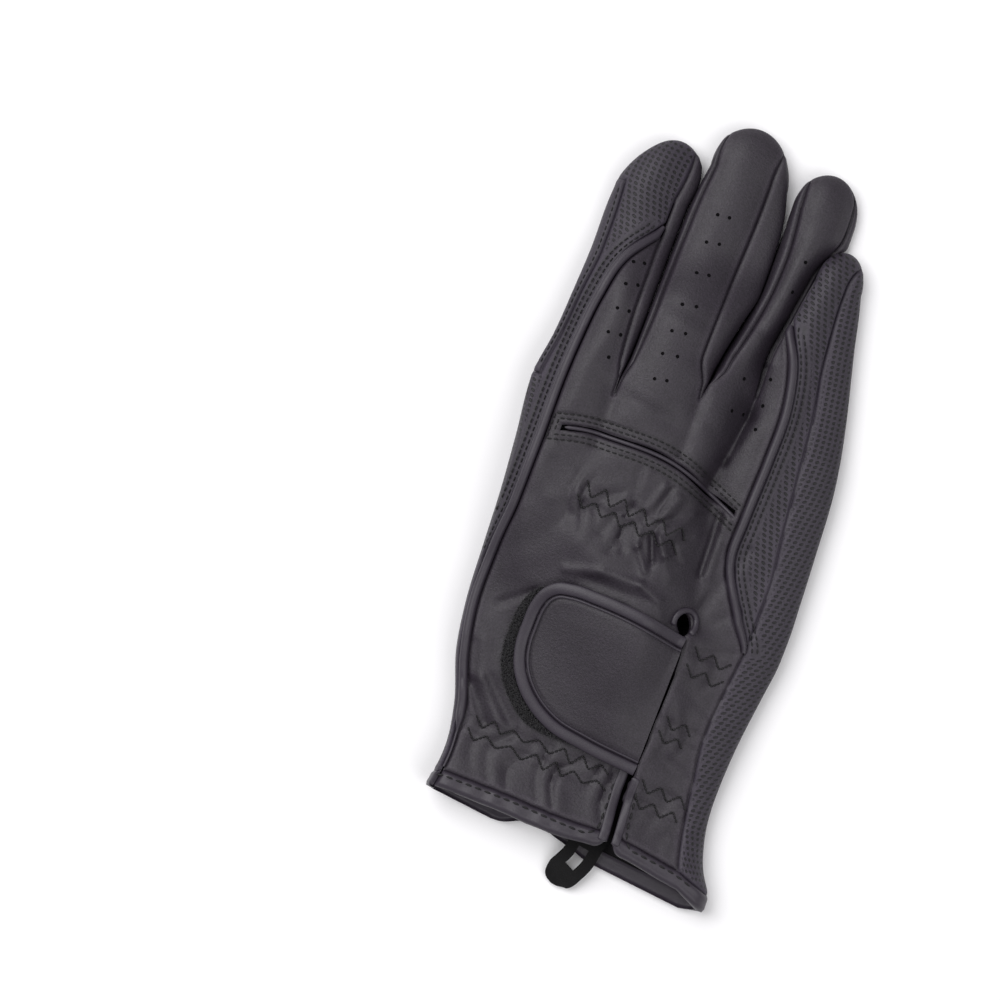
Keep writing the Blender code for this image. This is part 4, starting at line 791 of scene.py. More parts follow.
def body_rings():
    """Every ring of the body: from the left outline over the back and round the right under the palm."""
    points = {}
    for name in BACK_LINES + PALM_LINES + ("left", "right"):
        y = body_y(name)
        points[name] = np.stack([line_x(name, y), y], axis=1)
    for name in BACK_LINES:
        x, y = points[name].T
        points[name] = np.column_stack([x, y, back_z(x, y) + bulge(x, y)])
    for name in PALM_LINES:
        x, y = points[name].T
        points[name] = np.column_stack([x, y, palm_z(x, y)])
    for name, top, low in (("left", "over", "palm_l"), ("right", "side", "palm_r")):
        z = OUTLINE_SHARE * points[top][:, 2] + (1 - OUTLINE_SHARE) * points[low][:, 2]
        points[name] = np.column_stack([points[name], z])
    edge = EDGE_CELLS * FINE
    back = [spread(points[first], points[last], cells * FINE)
            for first, last, cells in zip(BACK_LINES[:-1], BACK_LINES[1:], BACK_CELLS)]
    back = np.concatenate(back, axis=1)
    curve_back_rows(back, points)
    parts = [quarter(points["left"], points["over"], edge, True, -1), back]
    parts.append(quarter(points["right"], points["side"], edge, False, 1))
    parts.append(quarter(points["right"], points["palm_r"], edge, True, 1))
    for first, last, cells in zip(PALM_LINES[:-1], PALM_LINES[1:], PALM_CELLS):
        part = spread(points[first], points[last], cells * FINE)
        part[..., 2] = palm_z(part[..., 0], part[..., 1])
        parts.append(part)
    parts.append(quarter(points["left"], points["palm_l"], edge, False, -1))
    return np.concatenate(parts, axis=1)


def body_tags(rows):
    """The panel of each cell of the body."""
    tags = ["index_cap"] * EDGE_CELLS
    for tag, cells in zip(BACK_TAGS, BACK_CELLS):
        tags += [tag] * cells
    tags += ["palm_panel"] * (2 * EDGE_CELLS + sum(PALM_CELLS)) + ["index_cap"] * EDGE_CELLS
    made = np.tile(np.repeat(np.array(tags, object), FINE), (rows, 1))
    slit = slice(back_start("slit_l"), back_start("slit_r"))
    made[:row_number("hem")] = "cuff_binding"
    made[:row_number("hem"), slit] = ""
    vent = slice(back_start("pipe_in") + FINE, back_start("slit_r") + 2 * FINE)
    made[row_number("vent_low"):row_number("vent_high"), vent] = ""
    made[window_rows()[0]:window_rows()[1], palm_start("p3"):palm_start("palm_l")] = ""
    return made


def crotch_point(name):
    """The plan point of a line at the crotch row."""
    y = body_y(name)[-1]
    return np.array([float(line_x(name, y)), y])


def finger_line(y, gap, side, kind, crotch):
    """Plan points of a line beside a gap: from its crotch point it eases into its own line."""
    x = GAP[gap][kind + ("_a" if side == "right" else "_b")](y)
    ease = ramp(y - crotch[1], 0, CROTCH_BLEND)
    ease = np.where(y - crotch[1] > CROTCH_FIRST, np.maximum(ease, CROTCH_SHARE), ease)
    ease = np.maximum(ease, CROTCH_SHARE * ramp(y - crotch[1], 0, CROTCH_FIRST))
    return np.stack([crotch[0] + (x - crotch[0]) * ease, y], axis=1)


def seam_offset(gap, side, ease):
    """The change of height of the back at a finger's seam, where the little finger laps the ring finger."""
    if gap != "ring_little":
        return 0 * ease
    return (-RING_DIP if side == "right" else LITTLE_RISE) * ease


def finger_rings(finger):
    """The rings of one finger from the crotch row to its tip."""
    plan = FINGER_PLAN[finger["name"]]
    v = np.arange(finger["rows"] * FINE_ROWS + 1) / (finger["rows"] * FINE_ROWS)

    def rows_from(start):
        return start + (finger["tip_start"] - start) * v

    def walls(gap, side):
        """Seam, outline and palm seam of one side of the finger, each an array of points."""
        made = []
        if gap is None:
            for name in ("over", "left", "palm_l") if side == "left" else ("side", "right", "palm_r"):
                y = rows_from(body_y(name)[-1])
                made.append(np.stack([line_x(name, y), y], axis=1))
            return made
        back, palm = (crotch_point(name) for name in GAP_CROTCH[gap])
        for kind, crotch in (("seam", back), ("out", (back + palm) / 2), ("palm", palm)):
            made.append(finger_line(rows_from(crotch[1]), gap, side, kind, crotch))
        return made

    left_seam, left_out, left_palm = walls(plan["left"], "left")
    right_seam, right_out, right_palm = walls(plan["right"], "right")

    def top(points):
        """Height of the finger's back: the back's height and a parabola between the two seams."""
        x, y = points[..., 0], points[..., 1]
        low = np.interp(y, left_seam[:, 1], left_seam[:, 0])
        high = np.interp(y, right_seam[:, 1], right_seam[:, 0])
        s = np.clip((x - low) / np.maximum(high - low, 0.01) * 2 - 1, -1, 1)
        start = max(crotch_point(name)[1] for name in plan["crotch"])
        ease = ramp(y, start, start + CROTCH_BLEND)
        tilt = seam_offset(plan["left"], "left", ease) * ((1 - s) / 2) ** 2
        tilt = tilt + seam_offset(plan["right"], "right", ease) * ((1 + s) / 2) ** 3
        body = bulge(x, y)
        own = HEIGHT["bulge"](y) * (1 - s * s)
        return back_z(x, y) + body + (own - body) * ease + tilt

    def raised(points):
        return np.column_stack([points, top(points)])

    def grounded(points):
        return np.column_stack([points, palm_z(points[:, 0], points[:, 1])])

    ends = {"left": raised(left_seam), "right": raised(right_seam)}
    low = {"left": grounded(left_palm), "right": grounded(right_palm)}
    outline = {}
    for side, points in (("left", left_out), ("right", right_out)):
        z = OUTLINE_SHARE * ends[side][:, 2] + (1 - OUTLINE_SHARE) * low[side][:, 2]
        outline[side] = np.column_stack([points, z])

    half = WALL_CELLS * FINE // 2
    parts = [quarter(outline["left"], low["left"], half, False, -1),
             quarter(outline["left"], ends["left"], half, True, -1)]
    edges = [ends["left"]]
    for name in plan["lines"][1:-1]:
        y = rows_from(body_y(name)[-1])
        x = np.clip(line_x(name, y), np.interp(y, left_seam[:, 1], left_seam[:, 0]),
                    np.interp(y, right_seam[:, 1], right_seam[:, 0]))
        edges.append(raised(np.stack([x, y], axis=1)))
    edges.append(ends["right"])
    for first, last, cells in zip(edges[:-1], edges[1:], plan["cells"]):
        part = spread(first, last, cells * FINE)
        part[..., 2] = top(part)
        parts.append(part)
    parts.append(quarter(outline["right"], ends["right"], half, False, 1))
    parts.append(quarter(outline["right"], low["right"], half, True, 1))
    palm = spread(low["right"], low["left"], plan["palm_cells"] * FINE)
    palm[..., 2] = palm_z(palm[..., 0], palm[..., 1])
    parts.append(palm)
    rings = np.concatenate(parts, axis=1)
    top_cells = sum(plan["cells"]) * FINE
    for gap, first, side in ((plan["left"], 0, 1), (plan["right"], WALL_CELLS * FINE + top_cells, -1)):
        if gap is not None:
            straighten_crotch(rings, gap, first, side)
    return np.concatenate([rings, tip_rings(rings[-1], plan, finger)], axis=0)


def straighten_crotch(rings, gap, first, side):
    """Makes the wall's crotch edge the straight line that both neighbouring fingers share."""
    back, palm = (crotch_point(name) for name in GAP_CROTCH[gap])
    top = np.array([*back, float(back_z(*back) + bulge(*back))])
    low = np.array([*palm, float(palm_z(*palm))])
    count = WALL_CELLS * FINE
    start, end = (low, top) if side == 1 else (top, low)
    rings[0, first:first + count + 1] = start + (end - start) * (np.arange(count + 1) / count)[:, None]


def tip_rings(last, plan, finger):
    """The rounded tip: the last ring is carried over a half disc, and its height falls as a quarter circle.

    A point at s across and q along the square goes to s sqrt(1 - q q / 2) and q sqrt(1 - s s / 2).
    """
    low, high = last[:, 0].min(), last[:, 0].max()
    centre, half = (low + high) / 2, (high - low) / 2
    wall, cells = WALL_CELLS * FINE, sum(plan["cells"]) * FINE
    xs = last[wall:wall + cells, 0]
    across = (xs - xs[0]) / (last[wall + cells, 0] - xs[0]) * 2 - 1
    palm = plan["palm_cells"] * FINE
    reach = INDEX_WALL_REACH if finger["name"] == "index" else 0.0
    round_wall = 1 - reach * np.clip(1.25 * np.abs(1 - 2 * np.arange(wall) / wall) - 0.25, 0, 1)
    back = (across + 1) * (1 - reach / 2) - 1
    under = 1 - reach - (2 - reach) * np.arange(palm) / palm
    corner = np.concatenate([np.full(wall, -1.0), back, round_wall, under])
    s = (last[:, 0] - centre) / half
    q = np.sin(math.pi / 2 * (np.arange(TIP_ROWS * FINE_ROWS) + 1) / (TIP_ROWS * FINE_ROWS))[:, None]
    toward = s + (corner - s) * q * q
    x = centre + finger["lean"] * q + half * toward * np.sqrt(1 - q * q / 2)
    y = last[:, 1] + finger["tip_length"] * q * np.sqrt(1 - toward * toward / 2)
    z = TIP_MIDDLE + (last[:, 2] - TIP_MIDDLE) * np.sqrt(np.maximum(0, 1 - q * q))
    return np.stack([x, y, z], axis=-1)


def finger_tags(finger, rows):
    """The panel of each cell of a finger."""
    plan = FINGER_PLAN[finger["name"]]
    left = "fourchette_" + plan["left"] if plan["left"] else "index_overlay"
    right = "fourchette_" + plan["right"] if plan["right"] else "palm_panel"
    tags = [left] * WALL_CELLS
    for tag, cells in zip(plan["tags"], plan["cells"]):
        tags += [tag] * cells
    tags += [right] * WALL_CELLS + ["palm_panel"] * plan["palm_cells"]
    made = np.tile(np.repeat(np.array(tags, object), FINE), (rows, 1))
    if finger["name"] == "index":
        half = WALL_CELLS * FINE // 2
        tip = finger["rows"] * FINE_ROWS
        made[tip:, :half] = "palm_panel"
        made[tip:, half:2 * half] = "index_cap"
    return made


def window_rows():
    """The rows of the window in the palm that the thumb's collar fills."""
    return row_number("hem") + 4 * FINE_ROWS, row_number("strap") + 5 * FINE_ROWS


def window_loop(rings):
    """The edge of that window, once round."""
    first, last = palm_start("p3"), palm_start("palm_l")
    low, high = window_rows()
    return np.concatenate([rings[low, first:last], rings[low:high, last], rings[high, last:first:-1],
                           rings[high:low:-1, first]])


def hole_rim(angle, beyond=0.0):
    """Plan points of the thumb's oval in each direction, moved outward by beyond."""
    degrees = column(HOLE_COLUMNS, HOLE, "angle")
    reach = column(HOLE_COLUMNS, HOLE, "reach")
    reach = curve_through(np.append(degrees, 360.0), np.append(reach, reach[0]))(np.degrees(angle)) + beyond
    return np.column_stack([HOLE_MIDDLE[0] + reach * np.cos(angle), HOLE_MIDDLE[1] + reach * np.sin(angle)])


def thumb_rings(loop):
    """The collar in the palm from the window's edge to the oval, and the thumb from the oval to its tip."""
    angle = np.arctan2(loop[:, 1] - HOLE_MIDDLE[1], loop[:, 0] - HOLE_MIDDLE[0]) % (2 * math.pi)
    rim = hole_rim(angle)
    t = (np.arange(HOLE_RINGS * FINE + 1) / (HOLE_RINGS * FINE))[:, None, None]
    plan = loop[:, :2] + (rim - loop[:, :2]) * t
    collar = np.concatenate([plan, palm_z(plan[..., 0], plan[..., 1])[..., None]], axis=-1)
    collar[0] = loop

    def sections(y):
        """A rounded oblong, cut flat below by the surface that it lies on."""
        y = y[:, None]
        across = np.sign(np.cos(angle)) * np.abs(np.cos(angle)) ** THUMB_SQUARENESS
        up = np.sign(np.sin(angle)) * np.abs(np.sin(angle)) ** THUMB_SQUARENESS
        thick = THUMB_AT["thick"](y)
        z = np.clip(thick / 2 * (1 + THUMB_FLATTENING * up), 0, thick)
        x = THUMB_AT["middle"](y) + THUMB_AT["half"](y) * across
        return np.stack([x, np.broadcast_to(y, x.shape), z], axis=-1)

    straight = float(THUMB[-1][0])
    rows = sections(np.linspace(THUMB_FIRST_SECTION, straight, THUMB_ROWS * FINE + 1))
    t = (np.arange(THUMB_BRIDGE_ROWS * FINE)[:, None] / (THUMB_BRIDGE_ROWS * FINE))
    bridge = collar[-1] + (rows[0] - collar[-1]) * t[..., None]
    lower = np.clip(-np.sin(angle), 0, 1)
    bridge[..., 2] *= 1 - lower * THUMB_SAG * np.sqrt(np.sin(math.pi * t))
    ceiling = palm_z(bridge[..., 0], bridge[..., 1]) - THUMB_CLEARANCE * np.minimum(1, 4 * t)
    bridge[..., 2] = np.minimum(bridge[..., 2], np.maximum(ceiling, 0))
    centre = np.array([float(THUMB_AT["middle"](straight)), straight, THUMB_TIP_HEIGHT])
    turn = (math.pi / 2 * (np.arange(TIP_ROWS * FINE) + 1) / (TIP_ROWS * FINE))[:, None, None]
    tip = centre + (rows[-1] - centre) * np.maximum(np.cos(turn), 1e-4)
    tip[..., 1] = straight + (THUMB_TIP - straight) * np.sin(turn[..., 0])
    return collar, np.concatenate([bridge, rows, tip]), np.degrees(angle)


def thumb_tags(degrees, rows):
    """Thumb cells: the smooth half faces the surface and wraps the outer side, the mesh half the palm."""
    after = np.roll(degrees, -1)
    middle = np.where(np.abs(degrees - after) < 180, (degrees + after) / 2, 0.0)
    front = (middle < THUMB_SEAMS[0]) | (middle > THUMB_SEAMS[1])
    return np.tile(np.where(front, "thumb_front", "thumb_back").astype(object), (rows, 1))


def arc_from(rings, zero):
    """Length along each ring from the column zero, positive in the ring's own direction."""
    step = np.linalg.norm(np.diff(rings, axis=1), axis=-1)
    run = np.concatenate([np.zeros((len(rings), 1)), np.cumsum(step, axis=1)], axis=1)
    return run - run[:, zero:zero + 1]


def patch(rings, tags, flat):
    """The quads of closed rings: corners, panel of each, and a coordinate across along the wall.

    flat(closed rings) gives that coordinate at every point of the rings.
    """
    closed = np.concatenate([rings, rings[:, :1]], axis=1)
    across = flat(closed)
    keep = tags != ""

    def corners(grid):
        quads = np.stack([grid[:-1, :-1], grid[:-1, 1:], grid[1:, 1:], grid[1:, :-1]], axis=2)
        return quads[keep]

    return corners(closed), tags[keep], corners(np.stack([across, closed[..., 1]], axis=-1))


def body_across(closed):
    """x on the palm; the length round the wall beyond it on either side."""
    left = arc_from(closed, closed.shape[1] - 1)
    right = closed[:, palm_start("palm_r"), None][..., 0] - arc_from(closed, palm_start("palm_r"))
    made = np.where(np.arange(closed.shape[1]) < back_start("pipe_in"), arc_from(closed, 0), right)
    made[:, palm_start("palm_l"):] = left[:, palm_start("palm_l"):]
    middle = slice(back_start("pipe_in"), back_start("side"))
    made[:, middle] = closed[:, middle, 0]
    return made


def finger_across(name):
    """The same for a finger: the length round the index and little fingers' outer wall, x elsewhere."""
    wall = WALL_CELLS * FINE

    def across(closed):
        made = closed[..., 0].copy()
        if name == "index":
            first = wall + FINGER_PLAN[name]["cells"][0] * FINE
            made[:, :first + 1] = arc_from(closed, wall // 2)[:, :first + 1]
        if name == "little":
            top = wall + sum(FINGER_PLAN[name]["cells"]) * FINE
            palm = top + wall
            made[:, top:palm + 1] = (closed[:, palm, None, 0] - arc_from(closed, palm))[:, top:palm + 1]
        return made

    return across


SLIVER = 0.8


def without_slivers(rings, tags, first, widths):
    """Takes a strip of cells out where it narrows to nothing beside a seam."""
    for cells in widths:
        last = first + cells * FINE
        wide = np.linalg.norm(rings[:, last] - rings[:, first], axis=1)
        tags[np.maximum(wide[:-1], wide[1:]) < SLIVER, first:last] = ""
        first = last
    return tags


class Leather:
    """All panels of the glove as one welded mesh of quads."""

    def __init__(self):
        body = body_rings()
        self.body = body
        self.fingers = {}
        tags = without_slivers(body, body_tags(len(body) - 1), EDGE_CELLS * FINE, BACK_CELLS)
        parts = [patch(body, tags, body_across)]
        for sizes in FINGERS:
            finger = dict(zip(FINGER_COLUMNS, sizes))
            rings = finger_rings(finger)
            self.fingers[finger["name"]] = rings
            cells = FINGER_PLAN[finger["name"]]["cells"]
            tags = without_slivers(rings, finger_tags(finger, len(rings) - 1), WALL_CELLS * FINE, cells)
            parts.append(patch(rings, tags, finger_across(finger["name"])))
        collar, tube, degrees = thumb_rings(window_loop(body))
        plain = np.full((len(collar) - 1, collar.shape[1]), "palm_panel", object)
        parts.append(patch(collar, plain, lambda closed: closed[..., 0]))
        parts.append(patch(tube, thumb_tags(degrees, len(tube) - 1), lambda closed: closed[..., 0]))
        corners, tags, across = (np.concatenate([part[i] for part in parts]) for i in range(3))
        self.names = sorted(set(tags))
        number = np.searchsorted(self.names, tags.astype(str))
        self.weld(corners, number, across)
        self.find_normals()
        self.relief = {}

    def weld(self, corners, number, across):
        """Merges the corners that neighbouring quads share, and keeps each quad's panel and coordinates."""
        mesh = bpy.data.meshes.new("glove_leather")
        count = len(corners)
        faces = np.arange(count * 4).reshape(count, 4)
        fill_mesh(mesh, corners.reshape(-1, 3), faces, across)
        tag = mesh.attributes.new("panel", "INT", "FACE")
        tag.data.foreach_set("value", number.astype(np.int32))
        work = bmesh.new()
        work.from_mesh(mesh)
        bmesh.ops.remove_doubles(work, verts=work.verts[:], dist=WELD)
        work.to_mesh(mesh)
        work.free()
        self.points = read(mesh.vertices, "co", 3)
        start = read(mesh.polygons, "loop_start", 1, np.int32)
        total = read(mesh.polygons, "loop_total", 1, np.int32)
        loops = read(mesh.loops, "vertex_index", 1, np.int32)
        uv = read(mesh.uv_layers[0].data, "uv", 2)
        place = start[:, None] + np.minimum(np.arange(4), total[:, None] - 1)
        self.faces = loops[place]
        self.faces[total == 3, 3] = -1
        self.uv = uv[place]
        self.tags = np.zeros(len(start), np.int32)
        mesh.attributes["panel"].data.foreach_get("value", self.tags)
        bpy.data.meshes.remove(mesh)

    def find_normals(self):
        """One normal for each point: the sum of the unit normals that the panels meeting there have."""
        total = np.zeros(self.points.shape)
        for number in range(len(self.names)):
            faces = self.faces[self.tags == number]
            own = face_normals(self.points, faces)
            gathered = np.zeros(self.points.shape)
            for corner in range(4):
                here = faces[:, corner] >= 0
                np.add.at(gathered, faces[here, corner], own[here])
            total += normalised(gathered)
        self.normals = normalised(total)

    def panel(self, name):
        """Points, normals, faces and coordinates of one panel."""
        mine = self.tags == self.names.index(name)
        used, index = np.unique(self.faces[mine], return_inverse=True)
        faces = index.reshape(-1, 4)
        if used[0] < 0:
            used, faces = used[1:], faces - 1
        return self.points[used], self.normals[used], faces, self.uv[mine]


WELD = 0.02


def read(collection, name, width, kind=np.float32):
    """One property of every element of a Blender collection as an array."""
    values = np.zeros(len(collection) * width, kind)
    collection.foreach_get(name, values)
    values = values.reshape(-1, width) if width > 1 else values
    return values.astype(float) if kind == np.float32 else values


def normalised(vectors):
    """Vectors at length one."""
    return vectors / np.maximum(np.linalg.norm(vectors, axis=-1, keepdims=True), 1e-9)


def face_normals(points, faces):
    """Unit normals: the cross product of a quad's diagonals, or of a triangle's sides."""
    a, b, c = points[faces[:, 0]], points[faces[:, 1]], points[faces[:, 2]]
    d = np.where((faces[:, 3] >= 0)[:, None], points[faces[:, 3]], a)
    return normalised(np.cross(c - a, d - b))


def fill_mesh(mesh, points, faces, uv=None):
    """Puts points, faces and coordinates in a mesh; the fourth corner of a triangle is -1."""
    total = np.where(faces[:, 3] < 0, 3, 4).astype(np.int32)
    present = np.arange(4) < total[:, None]
    loops = faces[present].astype(np.int32)
    mesh.vertices.add(len(points))
    mesh.vertices.foreach_set("co", np.asarray(points, np.float32).ravel())
    mesh.loops.add(len(loops))
    mesh.loops.foreach_set("vertex_index", loops)
    mesh.polygons.add(len(faces))
    mesh.polygons.foreach_set("loop_start", (np.cumsum(total) - total).astype(np.int32))
    if uv is not None:
        layer = mesh.uv_layers.new(name="surface_mm")
        layer.data.foreach_set("uv", uv[present].astype(np.float32).ravel())
    mesh.update(calc_edges=True)


def rim_edges(faces):
    """The directed edges that only one face has."""
    count = faces.max() + 1
    total = np.where(faces[:, 3] < 0, 3, 4)
    starts, ends = [], []
    for corner in range(4):
        here = corner < total
        after = np.where(corner + 1 < total[here], corner + 1, 0)
        starts.append(faces[here, corner])
        ends.append(faces[here][np.arange(here.sum()), after])
    start, end = np.concatenate(starts), np.concatenate(ends)
    alone = ~np.isin(start * count + end, end * count + start)
    return np.column_stack([start[alone], end[alone]])


def nearest_distance(points, targets):
    """Distance from each point to the nearest target, worked out a block of points at a time."""
    found = np.empty(len(points))
    block = 3000
    for start in range(0, len(points), block):
        here = points[start:start + block]
        squares = (here ** 2).sum(1)[:, None] + (targets ** 2).sum(1) - 2 * here @ targets.T
        found[start:start + block] = np.sqrt(np.maximum(squares.min(1), 0))
    return found


def sunk_seams(points, normals, faces, sizes):
    """The panel with its edges pulled back and rolled in beside the seams, and the distance to them.

    Along the normal a point at distance d from the rim moves by puff * bell(d - 1.4) - roll * bell(d), and
    by less of that roll where the wall stands upright, which keeps the outline even.
    """
    rim = np.unique(rim_edges(faces))
    away = nearest_distance(points, points[rim])
    inward = np.zeros(points.shape)
    middle = points[np.maximum(faces, 0)].mean(axis=1)
    for corner in range(4):
        here = faces[:, corner] >= 0
        np.add.at(inward, faces[here, corner], middle[here] - points[faces[here, corner]])
    inward -= (inward * normals).sum(axis=1, keepdims=True) * normals
    moved = points.copy()
    moved[rim] += SEAM_PULL * normalised(inward)[rim]
    level = 0.2 + 0.8 * ramp(np.abs(normals[:, 2]), 0.1, 0.6)
    roll = sizes.seam_puff / MM * bell(away - 1.4, 0.8) - level * sizes.seam_roll / MM * bell(away, 0.6)
    return moved + roll[:, None] * normals, away


def thickened(points, normals, faces, uv, thick):
    """A closed wall: the outer face, the inner face thick along the normals, and the rim between them."""
    count = len(points)
    rim = rim_edges(faces)
    inner_faces = np.where(faces[:, 3:] < 0, faces[:, [2, 1, 0, 3]], faces[:, ::-1])
    inner_uv = np.where(faces[:, 3:, None] < 0, uv[:, [2, 1, 0, 3]], uv[:, ::-1])
    shifted = np.where(inner_faces < 0, -1, inner_faces + count)
    walls = np.column_stack([rim[:, 1], rim[:, 0], rim[:, 0] + count, rim[:, 1] + count])
    point_uv = np.zeros((count, 2))
    here = faces >= 0
    point_uv[faces[here]] = uv[here]
    wall_uv = point_uv[walls % count]
    all_points = np.concatenate([points, points - thick * normals])
    return all_points, np.concatenate([faces, shifted, walls]), np.concatenate([uv, inner_uv, wall_uv])


def new_piece(name, points, faces, material, replaces=(), uv=None, painted_seam_light=None):
    """A finished piece from points in millimetres, riding on the glove."""
    mesh = bpy.data.meshes.new(name)
    placed = (np.asarray(points, float) - (*PLAN_CENTRE, 0)) * MM
    fill_mesh(mesh, placed, faces, uv)
    # A point attribute of painted light: a painted highlight on the swell beside the seams and painted shade
    # in the stitch grooves.
    if painted_seam_light is not None:
        attribute = mesh.attributes.new("seam_highlight_groove_shade", "FLOAT", "POINT")
        attribute.data.foreach_set("value", painted_seam_light.astype(np.float32))
    mesh.shade_smooth()
    mesh.set_sharp_from_angle(angle=math.radians(60))
    mesh.materials.append(material)
    made = bpy.data.objects.new(name, mesh)
    bpy.context.scene.collection.objects.link(made)
    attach(made, "root")
    if replaces:
        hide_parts(*replaces)
    return made


class Relief:
    """Heights of the outermost leather over a square grid, seen from above (side 1) or below (side -1)."""

    CELL = 0.5
    LOW = np.array([-60.0, -125.0])
    SHAPE = (250, 520)

    def __init__(self, quads, side):
        steps = (np.arange(4) + 0.5) / 4
        s, t = (grid.ravel()[:, None] for grid in np.meshgrid(steps, steps))
        weights = np.stack([(1 - s) * (1 - t), s * (1 - t), s * t, (1 - s) * t], axis=1)
        sample = np.einsum("nck,wc->nwk", quads, weights[..., 0]).reshape(-1, 3)
        place = ((sample[:, :2] - self.LOW) / self.CELL).astype(int)
        grid = np.full(self.SHAPE, -1e3)
        np.maximum.at(grid, (place[:, 0], place[:, 1]), side * sample[:, 2])
        for _ in range(6):
            empty = grid < -900
            around = np.max([np.roll(grid, 1, 0), np.roll(grid, -1, 0), np.roll(grid, 1, 1),
                             np.roll(grid, -1, 1)], axis=0)
            grid[empty] = around[empty]
        grid[grid < -900] = 0
        soft = grid.copy()
        for _ in range(2):
            soft = (soft + np.roll(soft, 1, 0) + np.roll(soft, -1, 0) + np.roll(soft, 1, 1)
                    + np.roll(soft, -1, 1)) / 5
        self.grid = side * soft
        self.side = side

    def height(self, x, y):
        """The height between the four nearest cells."""
        fx = np.clip((np.asarray(x, float) - self.LOW[0]) / self.CELL - 0.5, 0, self.SHAPE[0] - 2)
        fy = np.clip((np.asarray(y, float) - self.LOW[1]) / self.CELL - 0.5, 0, self.SHAPE[1] - 2)
        i, j = fx.astype(int), fy.astype(int)
        a, b = fx - i, fy - j
        g = self.grid
        return ((1 - a) * (1 - b) * g[i, j] + a * (1 - b) * g[i + 1, j] + (1 - a) * b * g[i, j + 1]
                + a * b * g[i + 1, j + 1])

    def place(self, plan):
        """The plan points on the relief, and the outward normals there."""
        x, y = plan[..., 0], plan[..., 1]
        reach = 0.8
        dx = (self.height(x + reach, y) - self.height(x - reach, y)) / (2 * reach)
        dy = (self.height(x, y + reach) - self.height(x, y - reach)) / (2 * reach)
        normal = self.side * normalised(np.stack([-dx, -dy, np.ones_like(dx)], axis=-1))
        return np.stack([x, y, self.height(x, y)], axis=-1), normal


def along_path(path, distances):
    """Points at these distances along a path of points."""
    run = run_along(path)
    return np.stack([np.interp(distances, run, path[:, i]) for i in range(path.shape[1])], axis=-1)


def path_length(path):
    """The length of a path of points."""
    return np.linalg.norm(np.diff(path, axis=0), axis=1).sum()


def smooth_path(points, step=0.8):
    """A smooth path through plan points, about one point every step."""
    points = np.asarray(points, float)
    run = run_along(points)
    even = np.linspace(0, run[-1], max(3, int(run[-1] / step)))
    return np.column_stack([curve_through(run, points[:, i])(even) for i in (0, 1)])


def offset_plan(path, distance):
    """A plan path moved to its left by distance."""
    along = normalised(np.gradient(path, axis=0))
    return path + distance * np.column_stack([-along[:, 1], along[:, 0]])


def tubes(centres, normals, radius, sides, flat=1.0, phase=0.0):
    """Closed tubes, one for each row of centres.

    At turn a round the tube a point is centre + radius (cos a across + flat sin a up), with up the part of
    the normal square to the path. Each end closes in a fan on its own middle point.
    """
    count, rows = centres.shape[:2]
    along = normalised(np.gradient(centres, axis=1))
    across = normalised(np.cross(along, normals))
    up = np.cross(across, along)
    turn = phase + 2 * math.pi * np.arange(sides) / sides
    width = np.broadcast_to(radius, (count, rows))[..., None, None]
    ring = centres[:, :, None] + width * (
        np.cos(turn)[:, None] * across[:, :, None] + flat * np.sin(turn)[:, None] * up[:, :, None])
    points = np.concatenate([ring.reshape(count, -1, 3), centres[:, :1], centres[:, -1:]], axis=1)
    row, side = np.meshgrid(np.arange(rows - 1), np.arange(sides), indexing="ij")
    after = (side + 1) % sides
    skin = np.stack([row * sides + side, (row + 1) * sides + side, (row + 1) * sides + after,
                     row * sides + after], axis=-1).reshape(-1, 4)
    around = np.arange(sides)
    beside = (around + 1) % sides
    last = (rows - 1) * sides
    none = np.full(sides, -1)
    first_cap = np.stack([np.full(sides, rows * sides), around, beside, none], axis=-1)
    last_cap = np.stack([np.full(sides, rows * sides + 1), last + beside, last + around, none], axis=-1)
    one = np.concatenate([skin, first_cap, last_cap])
    step = points.shape[1]
    faces = np.where(one < 0, -1, one + step * np.arange(count)[:, None, None])
    return points.reshape(-1, 3), faces.reshape(-1, 4)


STITCH_SIDES = 6
CUFF_THREAD = 0.33
STITCH_ROWS = 5
STITCH_SINK = 0.04
STITCH_SHARE = 0.58
# Stitches stay this far inside the outline, and off walls whose normal leans further than this.
STITCH_MARGIN = 0.6
STEEPEST_SEWN = 0.5


def on_leather(plan):
    """Whether plan points lie inside the glove's outline with the stitches' margin."""
    x, y = plan[..., 0], plan[..., 1]
    return (x > LINE["left"](y) + STITCH_MARGIN) & (x < LINE["right"](y) - STITCH_MARGIN)


def stitches(paths, relief, sizes, pitch=None, radius=None):
    """Rows of stitches: short bows of thread that rise at their middle and go into the leather at both ends.

    Along a stitch, u from -1 to 1, the centre rises by (1 - u^2) radius and the thread thins as
    sqrt(1 - u^4).
    """
    pitch = pitch or sizes.stitch_pitch / MM
    radius = radius or sizes.thread_radius / MM
    length = pitch * STITCH_SHARE + radius
    starts, ends = [], []
    for path in paths:
        count = int(path_length(path) / pitch)
        begin = (np.arange(count) + 0.5) * pitch - length / 2
        starts.append(along_path(path, begin))
        ends.append(along_path(path, begin + length))
    start, end = np.concatenate(starts), np.concatenate(ends)
    u = np.linspace(-1, 1, STITCH_ROWS)
    plan = (start + end)[:, None] / 2 + (end - start)[:, None] / 2 * u[:, None]
    middle, normal = relief.place(plan)
    sound = on_leather(plan).all(axis=1) & (np.abs(normal[..., 2]).min(axis=1) > STEEPEST_SEWN)
    middle, normal = middle[sound], normal[sound]
    rise = (1 - u * u) * radius * 0.9 - STITCH_SINK
    centres = middle + normal * rise[:, None]
    thin = np.maximum(np.sqrt(1 - (0.96 * u) ** 4), 0.3) * radius
    points, faces = tubes(centres, normal, thin, STITCH_SIDES)
    points[:, 2] = np.maximum(points[:, 2], 0.02)
    return points, faces


